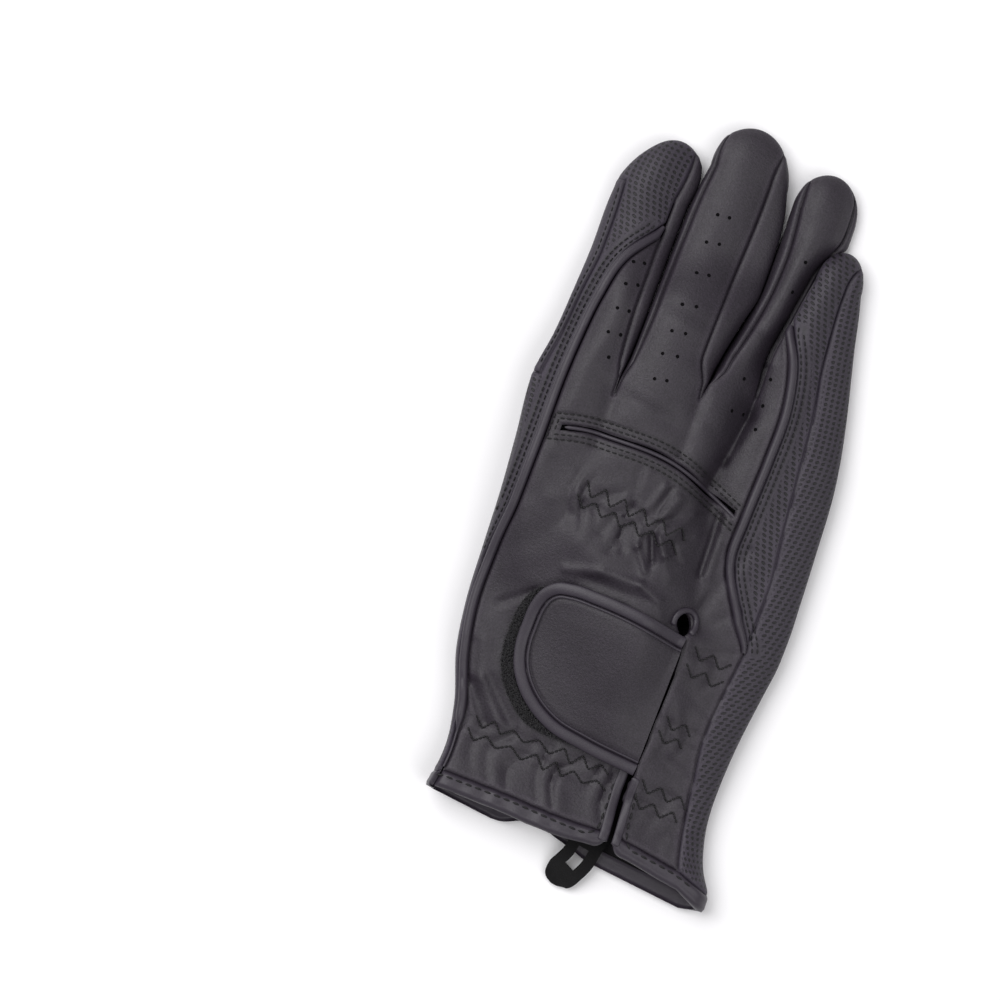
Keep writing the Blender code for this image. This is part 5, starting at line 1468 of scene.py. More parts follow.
def join(parts):
    """Several sets of points and faces as one."""
    shift = 0
    points, faces = [], []
    for some_points, some_faces in parts:
        points.append(some_points)
        faces.append(np.where(some_faces < 0, -1, some_faces + shift))
        shift += len(some_points)
    return np.concatenate(points), np.concatenate(faces)


def zigzag(seam, level):
    """The plan path of one zigzag row: a triangle wave of height swing that the gathers pull uneven."""
    first = np.array([seam["x0"], seam["y0"]], float)
    last = np.array([seam["x1"], seam["y1"]], float)
    length = np.linalg.norm(last - first)
    along = (last - first) / length
    across = np.array([-along[1], along[0]])
    turns = int(2 * length / seam["wave"])
    run = np.arange(turns + 1) * seam["wave"] / 2
    uneven = np.sin(1.9 * run + level + seam["x0"])
    run = run + 0.14 * seam["wave"] * uneven
    sway = seam["swing"] * (-1.0) ** np.arange(turns + 1) * (1 + 0.25 * np.roll(uneven, 1))
    return first + run[:, None] * along + (level + sway)[:, None] * across


def grid_faces(rows, cols, around=False):
    """Quads of a grid of points, row by row; around joins the last column to the first."""
    row, col = np.meshgrid(np.arange(rows - 1), np.arange(cols if around else cols - 1), indexing="ij")
    after = (col + 1) % cols
    corners = [row * cols + col, row * cols + after, (row + 1) * cols + after, (row + 1) * cols + col]
    return np.stack(corners, axis=-1).reshape(-1, 4)


def slab(low, high, keep=None):
    """A closed solid between two grids of points, the lower and the upper. keep marks the cells that exist."""
    rows, cols = low.shape[:2]
    faces = grid_faces(rows, cols)
    if keep is not None:
        faces = faces[keep.ravel()]
    top, bottom = high.reshape(-1, 3), low.reshape(-1, 3)
    if face_normals(top, faces)[:, 2].sum() < 0:
        faces = faces[:, ::-1]
    rim = rim_edges(faces)
    count = len(top)
    walls = np.column_stack([rim[:, 1], rim[:, 0], rim[:, 0] + count, rim[:, 1] + count])
    return np.concatenate([top, bottom]), np.concatenate([faces, faces[:, ::-1] + count, walls])


def flat_uv(points, faces):
    """x and y of every corner."""
    return points[np.maximum(faces, 0)][..., :2]


def strap_edge(count):
    """The strap's edge from its upper right corner, round the left end, to its lower right corner."""
    x, low, high = (column(STRAP_COLUMNS, STRAP, name) for name in STRAP_COLUMNS)
    corners = np.concatenate([np.column_stack([x, high])[::-1], np.column_stack([x, low])])
    run = run_along(corners)
    even = np.linspace(0, run[-1], count)
    return np.column_stack([curve_through(run, corners[:, i])(even) for i in (0, 1)])


def inside_strap(path, distance):
    """The path moved towards the strap's middle, and kept left of the slit."""
    moved = offset_plan(path, distance)
    moved[:, 0] = np.minimum(moved[:, 0], STRAP_END)
    moved[0, 0] = STRAP_END
    moved[-1, 0] = STRAP_END
    return moved


def on_back(plan, rise):
    """Points at a height above the smooth back, left of the wrist slit."""
    x = np.minimum(plan[..., 0], STRAP_END - STRAP_HOLD)
    z = smooth_back_z(x, plan[..., 1]) + bulge(x, plan[..., 1]) + rise
    return np.concatenate([plan, z[..., None]], axis=-1)


def ruled(path, cells):
    """A grid between the two halves of a path that doubles back."""
    half = len(path) // 2
    upper, lower = path[:half], path[::-1][:half]
    steps = np.arange(cells + 1) / cells
    return upper[:, None, :] + (lower - upper)[:, None, :] * steps[:, None]


def linear(colour):
    """An sRGB hex colour as the linear red, green, blue and alpha that shaders take."""
    channels = [int(colour[i:i + 2], 16) / 255 for i in (1, 3, 5)]
    return [c / 12.92 if c <= 0.04045 else ((c + 0.055) / 1.055) ** 2.4 for c in channels] + [1.0]


def add_node(tree, kind, inputs=None, **settings):
    """Adds a node with its settings; an input is a value, or a socket to link from."""
    made = tree.nodes.new(kind)
    for name, value in settings.items():
        setattr(made, name, value)
    for name, value in (inputs or {}).items():
        if isinstance(value, bpy.types.NodeSocket):
            tree.links.new(value, made.inputs[name])
        else:
            made.inputs[name].default_value = value
    return made


def empty_material(name, roughness, specular=0.5, sheen=0.0):
    """A material with a Principled shader, and its tree and shader."""
    material = bpy.data.materials.new(name)
    material.use_nodes = True
    tree = material.node_tree
    shader = tree.nodes["Principled BSDF"]
    shader.inputs["Roughness"].default_value = roughness
    shader.inputs["Specular IOR Level"].default_value = specular
    shader.inputs["Sheen Weight"].default_value = sheen
    shader.inputs["Sheen Roughness"].default_value = 0.6
    return material, tree, shader


def mottled(tree, where, colour, spread_mm, amount, painted_seam_light=True):
    """The base colour, lighter and darker in soft clouds of spread_mm, with painted light along the seams: a
    painted highlight on the swell beside each seam and painted shade in the stitch grooves.
    """
    clouds = add_node(tree, "ShaderNodeTexNoise", {
        "Vector": where, "Scale": 1 / (spread_mm * MM), "Detail": 3.0, "Roughness": 0.55})
    shade = add_node(tree, "ShaderNodeMapRange", {
        "Value": clouds.outputs["Fac"], "From Min": 0.3, "From Max": 0.7, "To Min": 1 - amount,
        "To Max": 1 + amount})
    value = shade.outputs["Result"]
    if painted_seam_light:
        # Painted light from the seams: a painted highlight beside each seam and painted shade in the stitch
        # grooves, added to the colour's scale.
        edge = add_node(tree, "ShaderNodeAttribute", attribute_name="seam_highlight_groove_shade")
        value = add_node(tree, "ShaderNodeMath", {0: edge.outputs["Fac"], 1: 0.3, 2: value},
                         operation="MULTIPLY_ADD").outputs[0]
    scaled = add_node(tree, "ShaderNodeVectorMath", {0: colour[:3], "Scale": value}, operation="SCALE")
    return scaled.outputs["Vector"]


def speckled(tree, where, colour, grain_mm, amount):
    """A colour with the light and dark specks of a pressed grain of grain_mm."""
    specks = add_node(tree, "ShaderNodeTexNoise", {
        "Vector": where, "Scale": 1 / (grain_mm * MM), "Detail": 1.0, "Roughness": 0.5})
    shade = add_node(tree, "ShaderNodeMapRange", {
        "Value": specks.outputs["Fac"], "From Min": 0.3, "From Max": 0.7, "To Min": 1 - amount,
        "To Max": 1 + amount})
    scaled = add_node(tree, "ShaderNodeVectorMath", {0: colour, "Scale": shade.outputs["Result"]},
                      operation="SCALE")
    return scaled.outputs["Vector"]


def leather_grain(tree, where, grain_mm):
    """Height of leather grain: pebbles of grain_mm from rounded cells, with finer noise and pores on them."""
    cells = add_node(tree, "ShaderNodeTexVoronoi", {
        "Vector": where, "Scale": 1 / (grain_mm * MM)}, feature="SMOOTH_F1")
    fine = add_node(tree, "ShaderNodeTexNoise", {
        "Vector": where, "Scale": 2.6 / (grain_mm * MM), "Detail": 2.0})
    broad = add_node(tree, "ShaderNodeTexNoise", {
        "Vector": where, "Scale": 1 / (6 * grain_mm * MM), "Detail": 2.0})
    mixed = add_node(tree, "ShaderNodeMath", {0: cells.outputs["Distance"], 1: -0.8, 2: fine.outputs["Fac"]},
                     operation="MULTIPLY_ADD")
    return add_node(tree, "ShaderNodeMath", {0: broad.outputs["Fac"], 1: 0.8, 2: mixed.outputs[0]},
                    operation="MULTIPLY_ADD").outputs[0]


def smooth_leather(colours):
    """Synthetic leather, polyurethane coated and pressed with a fine grain: even, matte, soft highlights."""
    material, tree, shader = empty_material("pu_leather_fine_grain", 0.55, 0.5)
    where = add_node(tree, "ShaderNodeTexCoord").outputs["Object"]
    height = leather_grain(tree, where, 0.75)
    bump = add_node(tree, "ShaderNodeBump", {"Height": height, "Strength": 0.5, "Distance": 0.00018})
    tree.links.new(bump.outputs["Normal"], shader.inputs["Normal"])
    base = mottled(tree, where, colours.smooth, 14, 0.09)
    tree.links.new(speckled(tree, where, base, 0.5, 0.34), shader.inputs["Base Color"])
    rough = add_node(tree, "ShaderNodeMapRange", {"Value": height, "To Min": 0.62, "To Max": 0.46})
    tree.links.new(rough.outputs["Result"], shader.inputs["Roughness"])
    return material


# The embossed mesh: the lean of its columns and of its dimples in degrees, the columns' distance, the
# distance along a column, and a dimple's length and width.
MESH_LEAN = 19.0
DIMPLE_LEAN = -44.0
MESH_PITCH = (2.1, 1.75)
MESH_DIMPLE = (1.45, 0.7)


def turned(tree, across, up, degrees):
    """Two coordinates turned by an angle, each as a socket."""
    cos, sin = math.cos(math.radians(degrees)), math.sin(math.radians(degrees))
    made = []
    for first, second in ((cos, sin), (-sin, cos)):
        part = add_node(tree, "ShaderNodeMath", {0: across, 1: first}, operation="MULTIPLY")
        whole = add_node(tree, "ShaderNodeMath", {0: up, 1: second, 2: part.outputs[0]},
                         operation="MULTIPLY_ADD")
        made.append(whole.outputs[0])
    return made


def mesh_leather(colours):
    """Synthetic leather embossed as a mesh: staggered leaning columns of short dimples on a fine grain.

    Columns lie 2.1 mm apart, the dimples in each 1.75 mm apart, and every other column is moved by half of
    that. A dimple is a slanted oval, and its colour is darkened down to 8 per cent at its middle: painted
    shade in the dimples. The point attribute pressed_flat takes the embossing and that painted shade out
    beside seams.
    """
    material, tree, shader = empty_material("pu_leather_embossed_mesh", 0.58, 0.5)
    where = add_node(tree, "ShaderNodeTexCoord").outputs["Object"]
    surface = add_node(tree, "ShaderNodeUVMap", uv_map="surface_mm").outputs["UV"]
    place = add_node(tree, "ShaderNodeSeparateXYZ", {"Vector": surface})

    def maths(operation, first, second=0.0, third=0.0):
        node = add_node(tree, "ShaderNodeMath", {0: first, 1: second, 2: third}, operation=operation)
        return node.outputs[0]

    across, up = turned(tree, place.outputs["X"], place.outputs["Y"], MESH_LEAN)
    column_at = maths("DIVIDE", across, MESH_PITCH[0])
    shift = maths("MULTIPLY", maths("FLOOR", column_at), 0.5)
    u = maths("MULTIPLY", maths("SUBTRACT", maths("FRACT", column_at), 0.5), MESH_PITCH[0])
    step = maths("FRACT", maths("ADD", maths("DIVIDE", up, MESH_PITCH[1]), shift))
    v = maths("MULTIPLY", maths("SUBTRACT", step, 0.5), MESH_PITCH[1])
    along, beside = turned(tree, u, v, DIMPLE_LEAN)
    long = maths("POWER", maths("ABSOLUTE", maths("DIVIDE", along, MESH_DIMPLE[0] / 2)), 2.6)
    wide = maths("POWER", maths("ABSOLUTE", maths("DIVIDE", beside, MESH_DIMPLE[1] / 2)), 2.6)
    dimple = add_node(tree, "ShaderNodeMapRange", {
        "Value": maths("ADD", long, wide), "From Min": 0.35, "From Max": 1.7},
        interpolation_type="SMOOTHSTEP").outputs["Result"]
    pressed = add_node(tree, "ShaderNodeAttribute", attribute_name="pressed_flat").outputs["Fac"]
    ground = maths("MAXIMUM", dimple, pressed)
    grain = leather_grain(tree, where, 0.6)
    height = maths("MULTIPLY_ADD", grain, 0.16, ground)
    bump = add_node(tree, "ShaderNodeBump", {"Height": height, "Strength": 1.0, "Distance": 0.00026})
    tree.links.new(bump.outputs["Normal"], shader.inputs["Normal"])
    base = speckled(tree, where, mottled(tree, where, colours.mesh, 16, 0.08), 0.5, 0.25)
    # Painted shade: the colour is darkened in each dimple, down to 8 per cent at its middle.
    depth = maths("MULTIPLY_ADD", ground, 0.92, 0.08)
    shaded = add_node(tree, "ShaderNodeVectorMath", {0: base, "Scale": depth}, operation="SCALE")
    tree.links.new(shaded.outputs["Vector"], shader.inputs["Base Color"])
    return material


def leather_reverse(colours):
    """Knitted polyester backing of coated leather, on its inner face: dark, dull and slightly napped."""
    material, tree, shader = empty_material("knitted_polyester_backing", 0.9, 0.2, 0.1)
    where = add_node(tree, "ShaderNodeTexCoord").outputs["Object"]
    knit = add_node(tree, "ShaderNodeTexNoise", {"Vector": where, "Scale": 1 / (0.4 * MM), "Detail": 3.0})
    bump = add_node(tree, "ShaderNodeBump", {
        "Height": knit.outputs["Fac"], "Strength": 0.7, "Distance": 0.0002})
    tree.links.new(bump.outputs["Normal"], shader.inputs["Normal"])
    tree.links.new(mottled(tree, where, colours.reverse, 3, 0.2, painted_seam_light=False), shader.inputs["Base Color"])
    return material


def piping_leather(colours):
    """The same leather folded tight round a cord or an edge: stretched, so smoother and a bit paler."""
    material, tree, shader = empty_material("pu_leather_stretched", 0.46, 0.5)
    where = add_node(tree, "ShaderNodeTexCoord").outputs["Object"]
    height = leather_grain(tree, where, 0.5)
    bump = add_node(tree, "ShaderNodeBump", {"Height": height, "Strength": 0.35, "Distance": 0.00012})
    tree.links.new(bump.outputs["Normal"], shader.inputs["Normal"])
    tree.links.new(mottled(tree, where, colours.piping, 9, 0.08, painted_seam_light=False), shader.inputs["Base Color"])
    return material


def thread(colours):
    """Polyester sewing thread, twisted and dyed: nearly black, dull, with the ply just showing."""
    material, tree, shader = empty_material("polyester_thread", 0.62, 0.4)
    where = add_node(tree, "ShaderNodeTexCoord").outputs["Object"]
    ply = add_node(tree, "ShaderNodeTexNoise", {"Vector": where, "Scale": 1 / (0.25 * MM)})
    bump = add_node(tree, "ShaderNodeBump", {
        "Height": ply.outputs["Fac"], "Strength": 0.4, "Distance": 0.00006})
    tree.links.new(bump.outputs["Normal"], shader.inputs["Normal"])
    shader.inputs["Base Color"].default_value = colours.thread
    return material


def loop_fabric(colours):
    """Brushed polyamide loops of a hook-and-loop fastener: black, rough, with a faint sheen."""
    material, tree, shader = empty_material("brushed_polyamide_loops", 0.9, 0.25, 0.15)
    where = add_node(tree, "ShaderNodeTexCoord").outputs["Object"]
    fuzz = add_node(tree, "ShaderNodeTexNoise", {"Vector": where, "Scale": 1 / (0.5 * MM), "Detail": 4.0})
    bump = add_node(tree, "ShaderNodeBump", {
        "Height": fuzz.outputs["Fac"], "Strength": 1.0, "Distance": 0.00026})
    tree.links.new(bump.outputs["Normal"], shader.inputs["Normal"])
    tree.links.new(mottled(tree, where, colours.loops, 2.5, 0.3, painted_seam_light=False), shader.inputs["Base Color"])
    return material


def felt(colours):
    """Pressed wool-like felt: black, without gloss, with short fibres that blur its surface."""
    material, tree, shader = empty_material("pressed_felt", 0.95, 0.2, 0.1)
    where = add_node(tree, "ShaderNodeTexCoord").outputs["Object"]
    fibres = add_node(tree, "ShaderNodeTexNoise", {"Vector": where, "Scale": 1 / (0.35 * MM), "Detail": 5.0})
    bump = add_node(tree, "ShaderNodeBump", {
        "Height": fibres.outputs["Fac"], "Strength": 0.8, "Distance": 0.0003})
    tree.links.new(bump.outputs["Normal"], shader.inputs["Normal"])
    tree.links.new(mottled(tree, where, colours.felt, 2.0, 0.25, painted_seam_light=False), shader.inputs["Base Color"])
    return material


def hole_painted_shade(colours):
    """Painted shade for a punched hole: a dark disc laid on the leather where the shaded inside of a hole
    would show.
    """
    material, _, shader = empty_material("punched_hole_painted_shade", 0.9, 0.1)
    shader.inputs["Base Color"].default_value = colours.hole
    return material


def floor_paper(colours):
    """Matte white paper of a studio table."""
    material, tree, shader = empty_material("matte_white_paper", 0.9, 0.2)
    where = add_node(tree, "ShaderNodeTexCoord").outputs["Object"]
    tree.links.new(mottled(tree, where, colours.floor, 400, 0.004, painted_seam_light=False), shader.inputs["Base Color"])
    return material


MATERIALS = {}


def material(make, colours):
    """The material that make builds, built once."""
    if make.__name__ not in MATERIALS:
        MATERIALS[make.__name__] = make(colours)
    return MATERIALS[make.__name__]


STATE = {}


def leather_of_glove():
    """The welded leather, worked out once."""
    if "leather" not in STATE:
        STATE["leather"] = Leather()
        STATE["outer"] = []
    return STATE["leather"]


def relief(side):
    """The relief of the finished panels from above or below, worked out once."""
    if side not in STATE:
        if not STATE.get("outer"):
            raise RuntimeError("the leather panels have to be made before what is sewn on them")
        quads = np.concatenate(STATE["outer"])
        facing = np.cross(quads[:, 2] - quads[:, 0], quads[:, 3] - quads[:, 1])[:, 2] * side
        STATE[side] = Relief(quads[facing > 0], side)
    return STATE[side]


# How far the leather sinks beside a row of stitches, and how strongly painted shade darkens the colour in that
# groove.
GROOVE_DEPTH = 0.24
GROOVE_SHADE = 1.6
# The embossing is pressed flat this far from a row of stitches, and from a panel's edge.
SEWN_FLAT = 1.5
EDGE_FLAT = 0.9


def from_stitches(points, normals):
    """Distance to the nearest row of straight stitches on the side of the glove that a point faces."""
    made = np.full(len(points), 50.0)
    for side, paths in ((1, back_stitch_paths()), (-1, palm_stitch_paths())):
        facing = side * normals[:, 2] > 0.3
        if not facing.any():
            continue
        row = np.concatenate([along_path(path, np.arange(0, path_length(path), 0.5)) for path in paths])
        here = np.column_stack([points[facing, :2]])
        made[facing] = nearest_distance(here, row)
    return made


def make_panel(name, finish, thick, context, shape=None, plain=False):
    """One leather panel, replacing the frame's own. A plain one has no embossing."""
    sizes, colours = context.scene.glove_sizes, context.scene.glove_colours
    points, normals, faces, uv = leather_of_glove().panel(name)
    moved, away = sunk_seams(points, normals, faces, sizes)
    from_row = from_stitches(moved, normals)
    groove = bell(from_row, 0.55)
    moved = moved - GROOVE_DEPTH * groove[:, None] * normals
    if shape is not None:
        moved = moved + shape(points, away)[:, None] * normals
    moved[:, 2] = np.maximum(moved[:, 2], 0)
    filled = np.where(faces < 0, faces[:, 2:3], faces)
    STATE["outer"].append(moved[filled])
    solid, corners, solid_uv = thickened(moved, normals, faces, uv, thick)
    solid[:, 2] = np.maximum(solid[:, 2], 0)
    # Painted light: paler on the swell 1.4 mm in from each panel's edge (a painted highlight), darker in the
    # stitch grooves (painted shade).
    painted_seam_light = np.tile(bell(away - 1.4, 0.9) - GROOVE_SHADE * groove, 2)
    made = new_piece(name + "_leather", solid, corners, material(finish, colours), (name,), solid_uv,
                     painted_seam_light)
    pressed = 1 - ramp(from_row, SEWN_FLAT, SEWN_FLAT + 0.5) * ramp(away, EDGE_FLAT, EDGE_FLAT + 0.5)
    flat = made.data.attributes.new("pressed_flat", "FLOAT", "POINT")
    flat.data.foreach_set("value", np.tile(np.maximum(pressed, float(plain)), 2).astype(np.float32))
    if finish is piping_leather:
        return
    made.data.materials.append(material(leather_reverse, colours))
    inner = np.zeros(len(corners), np.int32)
    inner[len(faces):2 * len(faces)] = 1
    made.data.polygons.foreach_set("material_index", inner)
    made.data.update()


class GloveSizes(bpy.types.PropertyGroup):
    """Sizes of the leather, threads and trims."""

    seam_roll: FloatProperty(name="Seam roll", description="How deep a panel's edge rolls into its seam",
                             default=0.0005, min=0.0, max=0.002, unit="LENGTH", precision=4)
    seam_puff: FloatProperty(name="Seam puff", description="How far the leather swells beside a seam",
                             default=0.00012, min=0.0, max=0.001, unit="LENGTH", precision=4)
    piping_radius: FloatProperty(name="Piping", description="Radius of the pipings", default=0.00142,
                                 min=0.0005, max=0.002, unit="LENGTH", precision=4)
    stitch_pitch: FloatProperty(name="Stitch pitch", description="From one stitch to the next",
                                default=0.0021, min=0.001, max=0.005, unit="LENGTH", precision=4)
    cuff_pitch: FloatProperty(name="Cuff stitch pitch", description="From one stitch to the next on the cuff",
                              default=0.0032, min=0.001, max=0.006, unit="LENGTH", precision=4)
    thread_radius: FloatProperty(name="Thread", description="Radius of the sewing thread", default=0.00024,
                                 min=0.0001, max=0.0006, unit="LENGTH", precision=5)
    zigzag_radius: FloatProperty(name="Zigzag thread", description="Radius of the elastics' thread",
                                 default=0.00032, min=0.0001, max=0.0006, unit="LENGTH", precision=5)
    hole_radius: FloatProperty(name="Perforation", description="Radius of the punched holes",
                               default=0.00042, min=0.0002, max=0.001, unit="LENGTH", precision=5)


class GloveColours(bpy.types.PropertyGroup):
    """Colours of the glove's materials, given as linear values of sRGB hex colours."""

    smooth: FloatVectorProperty(name="Smooth leather", description="Back, strap and finger walls", size=4,
                                subtype="COLOR", default=linear("#251F28"), min=0, max=1)
    mesh: FloatVectorProperty(name="Mesh leather", description="Embossed palm, index cap and side", size=4,
                              subtype="COLOR", default=linear("#2E2833"), min=0, max=1)
    piping: FloatVectorProperty(name="Piping leather", description="Pipings and bindings", size=4,
                                subtype="COLOR", default=linear("#2E2832"), min=0, max=1)
    thread: FloatVectorProperty(name="Thread", description="Sewing thread", size=4, subtype="COLOR",
                                default=linear("#151316"), min=0, max=1)
    loops: FloatVectorProperty(name="Loops", description="Loop pad under the strap", size=4,
                               subtype="COLOR", default=linear("#151217"), min=0, max=1)
    felt: FloatVectorProperty(name="Felt", description="Pull tab", size=4, subtype="COLOR",
                              default=linear("#0B0A0C"), min=0, max=1)
    reverse: FloatVectorProperty(name="Reverse", description="Textile back of the leather", size=4,
                                 subtype="COLOR", default=linear("#141215"), min=0, max=1)
    # The colour of the discs of painted shade that stand for the punched holes.
    hole: FloatVectorProperty(name="Holes", description="Inside of the punched holes", size=4,
                              subtype="COLOR", default=linear("#060507"), min=0, max=1)
    floor: FloatVectorProperty(name="Floor", description="Studio floor", size=4, subtype="COLOR",
                               default=linear("#FCFBFD"), min=0, max=1)


class GLOVE_OT_back(bpy.types.Operator):
    """Make the smooth back with its knuckle vent, wrist slit, creases and gathers"""

    bl_idname = "glove.back"
    bl_label = "Back"

    def execute(self, context):
        make_panel("back_panel", smooth_leather, LEATHER, context)
        return {"FINISHED"}


class GLOVE_OT_palm(bpy.types.Operator):
    """Make the embossed palm with the palm sides of the fingers"""

    bl_idname = "glove.palm"
    bl_label = "Palm"

    def execute(self, context):
        make_panel("palm_panel", mesh_leather, LEATHER, context)
        return {"FINISHED"}


class GLOVE_OT_side_panels(bpy.types.Operator):
    """Make the embossed index cap, its overlay and the panel of the little-finger side"""

    bl_idname = "glove.side_panels"
    bl_label = "Side panels"

    def execute(self, context):
        make_panel("index_cap", mesh_leather, LEATHER, context)
        make_panel("index_overlay", mesh_leather, OVERLAY_LEATHER, context, plain=True)
        make_panel("little_side_panel", mesh_leather, LEATHER, context)
        return {"FINISHED"}


class GLOVE_OT_finger_walls(bpy.types.Operator):
    """Make the smooth walls between the fingers"""

    bl_idname = "glove.finger_walls"
    bl_label = "Finger walls"

    def execute(self, context):
        for gap in GAP:
            make_panel("fourchette_" + gap, smooth_leather, LEATHER, context)
        return {"FINISHED"}


class GLOVE_OT_thumb(bpy.types.Operator):
    """Make the two halves of the thumb"""

    bl_idname = "glove.thumb"
    bl_label = "Thumb"

    def execute(self, context):
        make_panel("thumb_back", smooth_leather, LEATHER, context)
        make_panel("thumb_front", mesh_leather, LEATHER, context)
        return {"FINISHED"}


class GLOVE_OT_cuff_binding(bpy.types.Operator):
    """Make the turned binding round the cuff"""

    bl_idname = "glove.cuff_binding"
    bl_label = "Cuff binding"

    def execute(self, context):
        def plump(points, away):
            """Swells the strip between its two edges, and waves it a little along the cuff."""
            return 0.25 * ramp(away, 0, 1.2) + 0.15 * np.sin(0.8 * points[:, 0])

        make_panel("cuff_binding", piping_leather, BINDING_LEATHER, context, plump)
        return {"FINISHED"}


def slot_middle(rings, finger, out_line, in_line, first_row, last_row):
    """The middle of a piping's slot at each row of the body and then of the finger."""
    body = leather_of_glove().body
    middle = (body[first_row:, back_start(out_line)] + body[first_row:, back_start(in_line)]) / 2
    place = FINE * (WALL_CELLS + FINGER_PLAN[finger]["cells"][0])
    beyond = (rings[1:last_row, place] + rings[1:last_row, place + FINE]) / 2
    return np.concatenate([middle, beyond])


PIPINGS = (
    ("piping_thumb_side", "index", "pipe_out", "pipe_in", "hem", 0.2, 7.8, THUMB_PIPING_TAPER),
    ("piping_little_side", "little", "lpipe_in", "lpipe_out", "strap", 0.1, 4.4, LITTLE_PIPING_TAPER),
)


def piping_paths():
    """The middle line of both pipings."""
    leather = leather_of_glove()
    made = {}
    for name, finger, out_line, in_line, start, skipped, last, _ in PIPINGS:
        first = row_number(start) + int(skipped * FINE_ROWS)
        path = slot_middle(leather.fingers[finger], finger, out_line, in_line, first, int(last * FINE_ROWS))
        made[name] = path
    return made


class GLOVE_OT_pipings(bpy.types.Operator):
    """Make the two corded pipings"""

    bl_idname = "glove.pipings"
    bl_label = "Pipings"

    def execute(self, context):
        sizes, colours = context.scene.glove_sizes, context.scene.glove_colours
        tapers = {row[0]: row[-1] for row in PIPINGS}
        for name, path in piping_paths().items():
            path = path + (0, 0, PIPING_RISE)
            even = along_path(path, np.linspace(0, path_length(path), int(path_length(path) / 0.9)))
            normal = np.broadcast_to((0.0, 0.0, 1.0), even.shape)
            run = np.linspace(0, 1, len(even))
            low, high = tapers[name]
            share = 0.24 + 0.76 * ramp(even[:, 1], low, high)
            radius = sizes.piping_radius / MM * share * np.minimum(1, 0.4 + 30 * (1 - run))
            points, faces = tubes(even[None], normal[None], radius[None], 16)
            new_piece(name + "_cord", points, faces, material(piping_leather, colours),
                      (name,), flat_uv(points, faces))
        return {"FINISHED"}


class GLOVE_OT_strap(bpy.types.Operator):
    """Make the closing strap with its turned binding"""

    bl_idname = "glove.strap"
    bl_label = "Wrist strap"

    def execute(self, context):
        colours = context.scene.glove_colours
        edge = strap_edge(150)
        face = ruled(inside_strap(edge, STRAP_BINDING_WIDTH - 0.2), 60)
        low = on_back(face, STRAP_LIFT - 0.3)
        rows, cols = face.shape[:2]
        away = nearest_distance(face.reshape(-1, 2), inside_strap(edge, STRAP_BINDING_WIDTH - 0.2))
        away = away.reshape(rows, cols)
        ditch = 0.95 * bell(away, 0.6) + 0.35 * bell(away - 1.5, 0.5)
        swell = 0.16 * np.sin(0.21 * face[..., 0] + 1.3 * np.sin(0.12 * face[..., 1]))
        crown = 0.3 * ramp(away, 1, 9) - ditch + swell * ramp(away, 0, 6)
        high = low + np.stack([0 * crown, 0 * crown, 0.3 + STRAP_THICK + crown], axis=-1)
        points, faces = slab(low, high)
        new_piece("wrist_strap_face", points, faces, material(smooth_leather, colours),
                  ("wrist_strap",), flat_uv(points, faces))
        middle = inside_strap(edge, STRAP_BINDING_WIDTH / 2)
        centre = on_back(middle, STRAP_BINDING_LIFT)
        normal = np.broadcast_to((0.0, 0.0, 1.0), centre.shape)
        band = tubes(centre[None], normal[None], STRAP_BINDING_WIDTH / 2 - 0.05, 24, STRAP_BINDING_FLATNESS)
        inner = inside_strap(edge, STRAP_WELT_OFF)
        centre = on_back(inner, STRAP_LIFT + STRAP_THICK + 0.05)
        welt = tubes(centre[None], normal[None], STRAP_WELT_RADIUS, 12)
        points, faces = join([band, welt])
        new_piece("strap_binding_roll", points, faces, material(piping_leather, colours),
                  ("strap_binding",), flat_uv(points, faces))
        return {"FINISHED"}


class GLOVE_OT_loop_pad(bpy.types.Operator):
    """Make the brushed loop pad that the strap closes on"""

    bl_idname = "glove.loop_pad"
    bl_label = "Loop pad"

    def execute(self, context):
        colours = context.scene.glove_colours
        edge = strap_edge(200)
        pad = edge[edge[:, 0] <= LOOP_END]
        pad = pad + np.outer(1 - ramp(pad[:, 0], *LOOP_TAPER), LOOP_SHIFT)
        grid = ruled(pad, 90)
        low = on_back(grid, LOOP_LIFT)
        x, y = grid[..., 0], grid[..., 1]
        fuzz = 0.2 * (np.sin(4.1 * x + 2.2 * np.sin(1.7 * y)) + np.sin(4.7 * y + 2.0 * np.sin(1.9 * x)))
        high = low + np.stack([0 * fuzz, 0 * fuzz, LOOP_THICK + fuzz], axis=-1)
        base = slab(low, high)
        loops = self.loops(pad)
        points, faces = join([base, loops])
        new_piece("loop_pad_brushed", points, faces, material(loop_fabric, colours),
                  ("loop_patch",), flat_uv(points, faces))
        return {"FINISHED"}

    def loops(self, pad):
        """Small arches of filament over the pad's uncovered edge: half circles at seeded places and turns."""
        random = np.random.default_rng(7)
        count = 1500
        along = random.uniform(0.0, 1.0, count)
        run = along * path_length(pad)
        root = along_path(pad, run)
        inward = pad.mean(axis=0) - root
        root = root + normalised(inward) * random.uniform(-0.25, 5.0, count)[:, None]
        heading = random.uniform(0, 2 * math.pi, count)
        reach = random.uniform(0.35, 0.7, count)
        u = np.linspace(-1, 1, 6)
        plan = root[:, None] + (reach[:, None] * u)[..., None] * np.stack(
            [np.cos(heading), np.sin(heading)], axis=-1)[:, None]
        centre = on_back(plan, LOOP_LIFT + LOOP_THICK)
        centre[..., 2] += 0.75 * np.sqrt(np.maximum(0, 1 - u * u)) - 0.05
        side = np.stack([-np.sin(heading), np.cos(heading), 0 * heading], axis=-1)
        normal = np.broadcast_to(side[:, None], centre.shape)
        return tubes(centre, normal, 0.1, 4)


